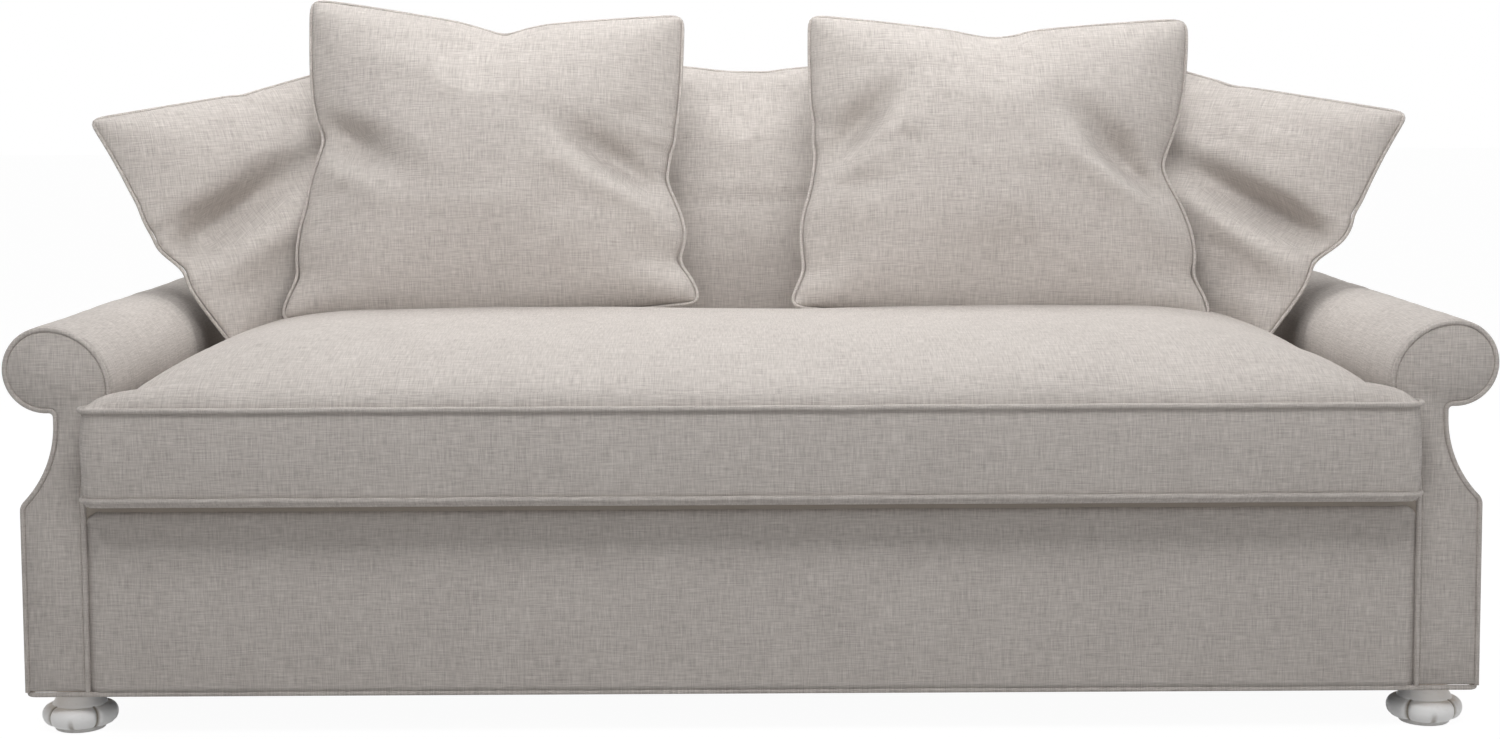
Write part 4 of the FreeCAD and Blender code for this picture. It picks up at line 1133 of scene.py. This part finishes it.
FRONT_RIGHT = PillowPlan(
    seed=2, thick=0.196, turn=0, aside=-0.018,
    corners=((-0.374, 0.006), (0.342, -0.018), (0.316, 0.500), (-0.332, 0.512)),
    dents=(
        Dent(0.11, 0.57, 0.066, 0.10, 0.028, 42),
        Dent(0.84, 0.50, 0.072, 0.11, 0.030, -35),
        Dent(0.47, 0.99, 0.018, 0.05, 0.09, 95),
        Dent(0.06, 0.14, 0.016, 0.07, 0.03, 35),
        Dent(0.94, 0.12, 0.018, 0.07, 0.03, -35),
    ),
    nips=(
        Nip("top", 0.47, 0.022, 0.42),
        Nip("top", 0.47, 0.008, 0.07),
        Nip("left", 0.48, 0.014, 0.12),
        Nip("left", 0.12, 0.022, 0.10),
        Nip("right", 0.45, 0.018, 0.45),
        Nip("right", 0.50, 0.040, 0.14),
        Nip("right", 0.14, 0.018, 0.06),
    ))
CENTER = PillowPlan(
    seed=3, thick=0.174, turn=0,
    corners=((-0.322, 0.0), (0.322, 0.0), (0.322, 0.476), (-0.322, 0.476)),
    dents=(Dent(0.5, 0.98, 0.012, 0.10, 0.08, 90),),
    nips=(Nip("top", 0.5, 0.012, 0.3),))
LEFT_CORNER = PillowPlan(
    seed=4, thick=0.144, turn=-1,
    corners=((-0.215, 0.0), (0.180, 0.0), (0.176, 0.474), (-0.402, 0.352)),
    dents=(
        Dent(0.22, 0.47, 0.085, 0.11, 0.028, 24),
        Dent(0.08, 0.20, 0.014, 0.06, 0.03, 10),
        Dent(0.70, 0.93, 0.008, 0.16, 0.02, -10),
    ),
    nips=(
        Nip("left", 0.45, -0.052, 0.34),
        Nip("left", 0.34, 0.022, 0.07),
        Nip("top", 0.5, 0.004, 0.4),
    ))
PILLOWS = {
    "front_left_pillow": FRONT_LEFT,
    "front_right_pillow": FRONT_RIGHT,
    "center_pillow": CENTER,
    "left_corner_pillow": LEFT_CORNER,
    "right_corner_pillow": LEFT_CORNER.mirrored(5),
}
CASE_CLOTH = {
    "quality": 5,
    "mass": 0.25,
    "tension_stiffness": 30,
    "compression_stiffness": 30,
    "shear_stiffness": 12,
    "bending_stiffness": 0.6,
    "use_pressure": True,
}
# How thick a flat case is at the start, as a share of its side, and how uneven
CASE_START = 0.05
CASE_UNEVEN = 0.5
# The lip beside a dent: its height as a share of the dent's depth, and how far off it lies in widths
LIP_SHARE = 0.2
LIP_OFF = 1.9
# How a nip narrows along the seam, and how fast it fades away from the seam
NIP_POINT = 1.4
NIP_FADE = 4
# How far up a pillow its hanging face, its full head and its sunken foot reach, as shares of its height
SAG_RISE = 0.13
HEAD_RISE = 0.12
HEAD_SHARE = 0.6
SINK_RISE = 0.12
SLUMP_FADE = 4
# How far the welt's middle stands out from the seam, in welts, at a pillow's foot, and how much less above
CORD_STAND = 0.2
CORD_DRAW = 0.45
SEAM_SMOOTHING = 3


def pillow_case(cells, corner):
    """A flat case of two square panels that share their seam: points (across, depth, up), faces and seam."""
    points = []
    for side in (-1, 1):
        for row in range(cells + 1):
            for column in range(cells + 1):
                x, z = rounded(column / cells - 0.5, row / cells - 0.5, 0.5, -0.5, 0.5, corner)
                edge = min(row, column, cells - row, cells - column) / cells
                points.append((x, side * CASE_START * math.sqrt(edge), z))
    size = (cells + 1) ** 2
    faces = grid_faces(cells + 1, cells + 1)
    faces += [tuple(reversed(face)) for face in grid_faces(cells + 1, cells + 1, size)]
    seam = grid_border(cells + 1, cells + 1)
    joined = {size + index: index for index in seam}
    faces = [tuple(joined.get(index, index) for index in face) for face in faces]
    used = sorted({index for face in faces for index in face})
    order = {index: place for place, index in enumerate(used)}
    faces = [tuple(order[index] for index in face) for face in faces]
    return [points[index] for index in used], faces, [order[index] for index in seam]


def blow_up(case):
    """Give a case the cloth that fills it over the next frames."""
    settings = bpy.context.scene.sofa_pillow
    cloth = case.modifiers.new("blow", "CLOTH")
    for key, value in CASE_CLOTH.items():
        setattr(cloth.settings, key, value)
    cloth.settings.uniform_pressure_force = settings.pressure
    cloth.settings.effector_weights.gravity = 0
    cloth.collision_settings.use_collision = False
    cloth.point_cache.frame_start = 1
    cloth.point_cache.frame_end = settings.frames


def blown_cases(names):
    """Pillow cases blown up together by cloth simulation; gives their points, flat points, faces and seam."""
    settings = bpy.context.scene.sofa_pillow
    points, faces, seam = pillow_case(settings.cells, settings.corner / settings.side)
    helpers = {}
    for name in names:
        seed = PILLOWS[name].seed
        uneven = [(x, y * (1 + CASE_UNEVEN * wobble((x, y, z), waves=6, seed=seed)), z) for x, y, z in points]
        mesh = bpy.data.meshes.new(name + "_case")
        mesh.from_pydata(uneven, [], faces)
        helper = bpy.data.objects.new(name + "_case", mesh)
        bpy.context.scene.collection.objects.link(helper)
        helpers[name] = helper
        blow_up(helper)
    for step in range(1, settings.frames + 1):
        bpy.context.scene.frame_set(step)
    shapes = {}
    for name, helper in helpers.items():
        made = evaluated_mesh(helper)
        shapes[name] = np.array([vertex.co for vertex in made.vertices])
        bpy.data.objects.remove(helper)
        bpy.data.meshes.remove(made)
        if not np.isfinite(shapes[name]).all():
            raise RuntimeError(f"the case of {name} burst")
    bpy.context.scene.frame_set(1)
    return shapes, np.array(points), faces, seam


def dented(depth, swell, across, up, plan):
    """The depth of a pillow's points after its dents are pressed into its face."""
    a, b, _, d = plan.corners
    front = np.clip(0.5 - 1.5 * swell, 0, 1)
    for dent in plan.dents:
        turn = math.radians(dent.angle)
        dx = (across - dent.across) * (b[0] - a[0])
        dz = (up - dent.up) * (d[1] - a[1])
        along = dx * math.cos(turn) + dz * math.sin(turn)
        beside = dz * math.cos(turn) - dx * math.sin(turn)
        reach = np.exp(-(along / dent.long) ** 2)
        lip = np.exp(-((beside + LIP_OFF * dent.wide) / dent.wide) ** 2)
        press = np.exp(-(beside / dent.wide) ** 2) - LIP_SHARE * lip
        depth = depth + dent.deep * reach * press * front * np.abs(swell) ** 0.5
    return depth


def rippled(across, up, seed):
    """Ripples of a pillow's cloth: long ones across it and shorter ones."""
    ripples = []
    for s, t in zip(across, up):
        long = wobble((2.2 * s, 0, 15 * t), waves=1, seed=seed)
        short = wobble((6 * s, 0, 7 * t), waves=1, seed=seed + 9)
        ripples.append(long + 0.6 * short)
    return np.array(ripples)


def fitted_pillow(points, rest, plan):
    """A blown case drawn to a pillow's corners and thickness, with dents and nips, in the pillow's plane.

    It comes with how far each point slumps, which only a corner pillow does.
    """
    settings = bpy.context.scene.sofa_pillow
    low = points.min(axis=0)
    high = points.max(axis=0)
    share = (points - low) / (high - low)
    flat = rest[:, (0, 2)] + 0.5
    draw = np.column_stack([np.full(len(flat), settings.draw), settings.draw * np.clip(flat[:, 1] * 2, 0, 1)])
    across, up = (draw * share[:, (0, 2)] + (1 - draw) * flat).T
    a, b, c, d = (np.array(corner)[:, None] for corner in plan.corners)
    x, z = (1 - across) * (1 - up) * a + across * (1 - up) * b + across * up * c + (1 - across) * up * d

    swell = 2 * share[:, 1] - 1
    depth = np.sign(swell) * np.abs(swell) ** settings.fullness * plan.thick / 2
    depth = dented(depth, swell, across, up, plan)
    depth = depth + settings.ripple * rippled(across, up, plan.seed) * np.abs(swell) ** 0.4

    for nip in plan.nips:
        place, near = {"left": (up, 1 - across), "right": (up, across), "top": (across, up)}[nip.side]
        pull = nip.deep * np.exp(-np.abs((place - nip.at) / nip.wide) ** NIP_POINT) * near ** NIP_FADE
        if nip.side == "top":
            z = z - pull
        else:
            x = x + (pull if nip.side == "left" else -pull)
    roll = np.sqrt(np.abs(swell)) * np.clip(-3 * swell, 0, 1)
    hang = np.exp(-(up / SAG_RISE) ** 2) - HEAD_SHARE * np.exp(-((1 - up) / HEAD_RISE) ** 2)
    z = z - settings.sag * roll * hang
    z = z - settings.sink * np.sin(np.pi * across) * np.exp(-(up / SINK_RISE) ** 2)
    outer = 1 - across if plan.turn < 0 else across
    slump = abs(plan.turn) * outer ** SLUMP_FADE * (1 - up)
    return np.column_stack([x, depth, z]), slump


def pillow_cord(path, up, welt):
    """The way of a pillow's welt: its smoothed seam, standing out a little below and lying in above."""
    smooth = path
    for _ in range(SEAM_SMOOTHING):
        smooth = (np.roll(smooth, 1, axis=0) + 2 * smooth + np.roll(smooth, -1, axis=0)) / 4
    out = smooth - path.mean(axis=0)
    out = out / np.linalg.norm(out, axis=1, keepdims=True)
    stand = CORD_STAND - CORD_DRAW * up ** 2
    return smooth + out * welt * stand[:, None]


class SOFA_OT_pillows(Operator):
    """Build the five loose pillows and their welts"""

    bl_idname = "sofa.pillows"
    bl_label = "Pillows"

    def execute(self, context):
        settings = context.scene.sofa_pillow
        welt = settings.welt
        shapes, rest, faces, seam = blown_cases(PILLOWS)
        for name, plan in PILLOWS.items():
            local, slump = fitted_pillow(shapes[name], rest, plan)
            turn = Matrix.Rotation(-plan.turn * settings.yaw, 3, "Z")
            turn = turn @ Matrix.Rotation(-settings.lean, 3, "X")
            turned = local @ np.array(turn).T
            path = turned[seam]
            middle = (path.min(axis=0) + path.max(axis=0)) / 2
            low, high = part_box(name + "_welt")
            shift = np.array([(low.x + high.x) / 2 - middle[0] + plan.aside, (low.y + high.y) / 2 - middle[1],
                              low.z + welt])
            slack = turn @ Vector((0, -settings.curl, 0)) - Vector((0, 0, settings.drop))
            turned = turned + slump[:, None] * np.array(slack)
            case = modified(mesh_from(name, turned + shift, faces), "SUBSURF", levels=1, render_levels=1)
            piece = place_cloth(name + "_case", case, name, (name,), turn)
            cord = pillow_cord(turned[seam], rest[seam][:, 2] + 0.5, welt) + shift
            lay_welt(name + "_cord", cord, True, name, (name + "_welt",), turn, welt)
        return {"FINISHED"}


# The feet

# Radius and height as shares of the foot's, and how much of the carving is there
FOOT_PROFILE = (
    (0.0, 0.0, 0), (0.62, 0.0, 0), (0.655, 0.012, 0), (0.67, 0.049, 0), (0.665, 0.090, 0), (0.64, 0.111, 0),
    (0.66, 0.115, 0.6), (0.78, 0.123, 1), (0.87, 0.150, 1), (0.94, 0.197, 1), (0.985, 0.264, 1),
    (1.0, 0.334, 1), (0.99, 0.404, 1), (0.955, 0.467, 1), (0.90, 0.514, 1), (0.83, 0.545, 1),
    (0.775, 0.559, 1), (0.735, 0.562, 0.8), (0.715, 0.570, 0.1), (0.70, 0.606, 0), (0.65, 0.675, 0),
    (0.612, 0.768, 0), (0.597, 0.876, 0), (0.60, 1.0, 0), (0.0, 1.0, 0),
)
# Heights on the foot, as shares of its height
DISC_TOP = 0.111
PETAL_FOOT = 0.115
CREASE_RISE = 0.28
SCALLOP_RISE = 0.16
SCALLOP_DEPTH = 0.02
# The band of painted shade where the petals meet the disc, and the top of the disc that is painted in shade
# below them
UNDER_SHADE_WIDTH = 0.017
SHADED_DISC_TOP = 0.10
# Widths of the carved lines, as shares of the way from a valley to a petal's middle
VALLEY_WIDTH = 0.16
GROOVE_WIDTH = 0.10
CREASE_WIDTH = 0.012


def eased(points, times=2):
    """A row of points with its corners cut, its ends kept."""
    for _ in range(times):
        cut = [points[0]]
        for start, end in zip(points, points[1:]):
            cut.append(tuple(0.75 * a + 0.25 * b for a, b in zip(start, end)))
            cut.append(tuple(0.25 * a + 0.75 * b for a, b in zip(start, end)))
        points = cut + [points[-1]]
    return points


def foot_form():
    """A carved foot about its own axis: four petals between a disc and a flared neck, with its grooves and
    the painted shade under its petals.
    """
    foot = bpy.context.scene.sofa_foot
    widest = (FOOT_HIGH.x - FOOT_LOW.x) / 2
    tall = FOOT_HIGH.z - FOOT_LOW.z
    profile = eased(FOOT_PROFILE)
    points = []
    # Each point's mark: its carved groove, or the painted shade under the petals and on the disc
    grooves = []
    for radius, height, petal in profile:
        crease = max(0, 1 - (height - PETAL_FOOT) / CREASE_RISE)
        scallop = max(0, 1 - (height - PETAL_FOOT) / SCALLOP_RISE)
        # Painted shade: a dark band where the petals meet the disc, and a lighter one over the whole disc
        # under the petals
        under = 0.75 * math.exp(-((height - DISC_TOP) / UNDER_SHADE_WIDTH) ** 2)
        disc_shade = 0.25 if height < SHADED_DISC_TOP else 0
        for step in range(foot.around):
            angle = 2 * math.pi * step / foot.around
            swell = abs(math.cos(2 * angle))
            valley = 0.4 * (1 - swell) + 0.6 * math.exp(-(swell / VALLEY_WIDTH) ** 2)
            fold = math.exp(-((1 - swell) / CREASE_WIDTH) ** 2)
            carving = foot.petal_depth * valley + foot.crease_depth * fold * crease
            reach = widest * radius * (1 - petal * carving)
            z = tall * (height - SCALLOP_DEPTH * petal * (1 - valley) * scallop)
            points.append((reach * math.cos(angle), reach * math.sin(angle), z))
            line = petal * max(math.exp(-(swell / GROOVE_WIDTH) ** 2), 0.8 * fold * crease)
            grooves.append(max(line, under, disc_shade))
    return points, grid_faces(len(profile), foot.around, ring=True), grooves


class SOFA_OT_feet(Operator):
    """Build the four carved feet"""

    bl_idname = "sofa.feet"
    bl_label = "Feet"

    def execute(self, context):
        points, faces, grooves = foot_form()
        for node in ("front_left_foot", "front_right_foot", "rear_left_foot", "rear_right_foot"):
            low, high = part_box(node)
            center = Vector(((low.x + high.x) / 2, (low.y + high.y) / 2, low.z))
            placed = [Vector(point) + center for point in points]
            mesh = mesh_from(node, placed, faces, merge=1e-6, groove=grooves)
            place_piece(node + "_carving", mesh, "frame", "painted_wood", (node,))
        return {"FINISHED"}


# The frame inside

STAPLE_SINK = 0.0003


class SOFA_OT_frame(Operator):
    """Give the boards, pads, straps and bolts of the frame their finishes, and staple the dust cover"""

    bl_idname = "sofa.frame"
    bl_label = "Frame"

    def execute(self, context):
        trim = context.scene.sofa_trim
        slots = {part["node"]: part["material_slot"] for part in frame["record"]["subparts"]}
        for node, thing in frame["nodes"].items():
            if thing.hide_render:
                continue
            if node not in slots:
                raise RuntimeError(f"the record gives {node} no finish")
            thing.data.materials.clear()
            thing.data.materials.append(material(slots[node]))
            if slots[node] in ("linen", "deck_lining"):
                lay_weave(thing.data)
        left, right = DUST_LOW.x + trim.staple_inset, DUST_HIGH.x - trim.staple_inset
        front, rear = DUST_LOW.y + trim.staple_inset, DUST_HIGH.y - trim.staple_inset
        corners = ((left, front), (right, front), (right, rear), (left, rear))
        path = [(x, y, DUST_LOW.z - STAPLE_SINK) for x, y in corners]
        mesh = along_path(tree_for(staple_tree), path, True, Gap=trim.staple_gap, Steel=material("steel"))
        place_piece("dust_cover_staples", mesh, "frame", "steel")
        return {"FINISHED"}


# The studio

FLOOR_REACH = 30
FLOOR_GREY = 0.78
FLOOR_GLOW = 1.12
FLOOR_WHITE = 0.85
WORLD_LIGHT = 0.25
# Place, what it looks at, width, depth, power in watts and spread in degrees
LIGHTS = {
    "overhead": ((0, 0.6, 3.1), (0, 0, 0.5), 3.4, 1.4, 57, 180),
    "key": ((0, -1.7, 2.4), (0, 0.3, 0.8), 3.0, 0.8, 14, 80),
    "front_left": ((-2.4, -3.4, 0.9), (0, 0.0, 0.4), 1.8, 1.4, 8, 180),
    "front_right": ((2.6, -3.3, 0.9), (0, 0.0, 0.4), 1.8, 1.4, 13, 180),
}
LENS = 56.0
SENSOR = 36.0
CAMERA_DISTANCE = 3.3
CAMERA_HEIGHT = 0.93
CAMERA_PITCH = math.radians(4.5)
CAMERA_ROLL = math.radians(-0.3)


def pale_floor():
    """A pale floor that is seen almost white and still takes the sofa's shadow."""
    shader = new_finish("pale_floor")
    shader.set(Base_Color=(FLOOR_GREY, FLOOR_GREY, FLOOR_GREY, 1), Roughness=0.9, Specular_IOR_Level=0.1)
    glow = shader.add("ShaderNodeEmission", {}, Color=(1, 1, 1, 1), Strength=FLOOR_GLOW)
    lit = Wire(shader, shader.surface.outputs["BSDF"])
    both = shader.add("ShaderNodeMixShader", {}, shader.seen() * FLOOR_WHITE, lit, glow)
    shader.feed(shader.tree.nodes["Material Output"].inputs["Surface"], both)
    return shader.block


class SOFA_OT_studio(Operator):
    """Build the floor, the light and the camera"""

    bl_idname = "sofa.studio"
    bl_label = "Studio"

    def execute(self, context):
        scene = context.scene
        scene.view_settings.view_transform = "Standard"
        corners = [(x * FLOOR_REACH, y * FLOOR_REACH, 0) for x, y in ((-1, -1), (1, -1), (1, 1), (-1, 1))]
        floor_mesh = bpy.data.meshes.new("studio_floor")
        floor_mesh.from_pydata(corners, [], [(0, 1, 2, 3)])
        floor_mesh.materials.append(pale_floor())
        floor = bpy.data.objects.new("studio_floor", floor_mesh)
        scene.collection.objects.link(floor)

        scene.world = bpy.data.worlds.new("studio")
        sky = Shader(scene.world, "Background")
        sky.set(Color=(1, 1, 1, 1), Strength=WORLD_LIGHT + (1 - WORLD_LIGHT) * sky.seen())

        for name, (place, aim, width, depth, power, spread) in LIGHTS.items():
            lamp = bpy.data.lights.new(name, "AREA")
            lamp.shape = "RECTANGLE"
            lamp.size = width
            lamp.size_y = depth
            lamp.energy = power
            lamp.spread = math.radians(spread)
            thing = bpy.data.objects.new(name, lamp)
            thing.location = place
            thing.rotation_euler = (Vector(aim) - Vector(place)).to_track_quat("-Z", "Y").to_euler()
            scene.collection.objects.link(thing)

        lens = bpy.data.cameras.new("camera")
        lens.lens = LENS
        lens.sensor_width = SENSOR
        focal = LENS / SENSOR * PHOTO_WIDTH
        lens.shift_y = -(PHOTO_HEIGHT / 2 - HORIZON - focal * math.tan(CAMERA_PITCH)) / PHOTO_WIDTH
        camera = bpy.data.objects.new("camera", lens)
        tilt = Matrix.Rotation(math.pi / 2 - CAMERA_PITCH, 4, "X") @ Matrix.Rotation(CAMERA_ROLL, 4, "Z")
        camera.matrix_world = Matrix.Translation((0, FACING_LOW.y - CAMERA_DISTANCE, CAMERA_HEIGHT)) @ tilt
        scene.collection.objects.link(camera)
        scene.camera = camera
        return {"FINISHED"}


class SOFA_PT_panel(Panel):
    """Sizes, finishes and pieces of the sofa"""

    bl_idname = "SOFA_PT_panel"
    bl_label = "Serpentine Arm Sofa"
    bl_space_type = "VIEW_3D"
    bl_region_type = "UI"
    bl_category = "Sofa"

    def draw(self, context):
        for group in SETTINGS:
            settings = getattr(context.scene, group)
            column = self.layout.column(align=True)
            for name in settings.__annotations__:
                column.prop(settings, name)
        for operator in OPERATORS:
            self.layout.operator(operator.bl_idname)


SETTINGS = {
    "sofa_arm": ArmSettings,
    "sofa_panel": PanelSettings,
    "sofa_seat": SeatSettings,
    "sofa_pillow": PillowSettings,
    "sofa_back": BackSettings,
    "sofa_trim": TrimSettings,
    "sofa_foot": FootSettings,
    "sofa_finish": FinishSettings,
}
OPERATORS = (
    SOFA_OT_arms,
    SOFA_OT_front_panel,
    SOFA_OT_back,
    SOFA_OT_seat_cushion,
    SOFA_OT_pillows,
    SOFA_OT_feet,
    SOFA_OT_frame,
    SOFA_OT_studio,
)


def register():
    for kind in (*SETTINGS.values(), *OPERATORS, SOFA_PT_panel):
        bpy.utils.register_class(kind)
    for name, kind in SETTINGS.items():
        setattr(bpy.types.Scene, name, PointerProperty(type=kind))


def unregister():
    for name in SETTINGS:
        delattr(bpy.types.Scene, name)
    for kind in reversed((*SETTINGS.values(), *OPERATORS, SOFA_PT_panel)):
        bpy.utils.unregister_class(kind)


def main():
    register()
    bpy.ops.sofa.arms()
    bpy.ops.sofa.front_panel()
    bpy.ops.sofa.back()
    bpy.ops.sofa.seat_cushion()
    bpy.ops.sofa.pillows()
    bpy.ops.sofa.feet()
    bpy.ops.sofa.frame()
    bpy.ops.sofa.studio()


if __name__ == "__main__":
    main()
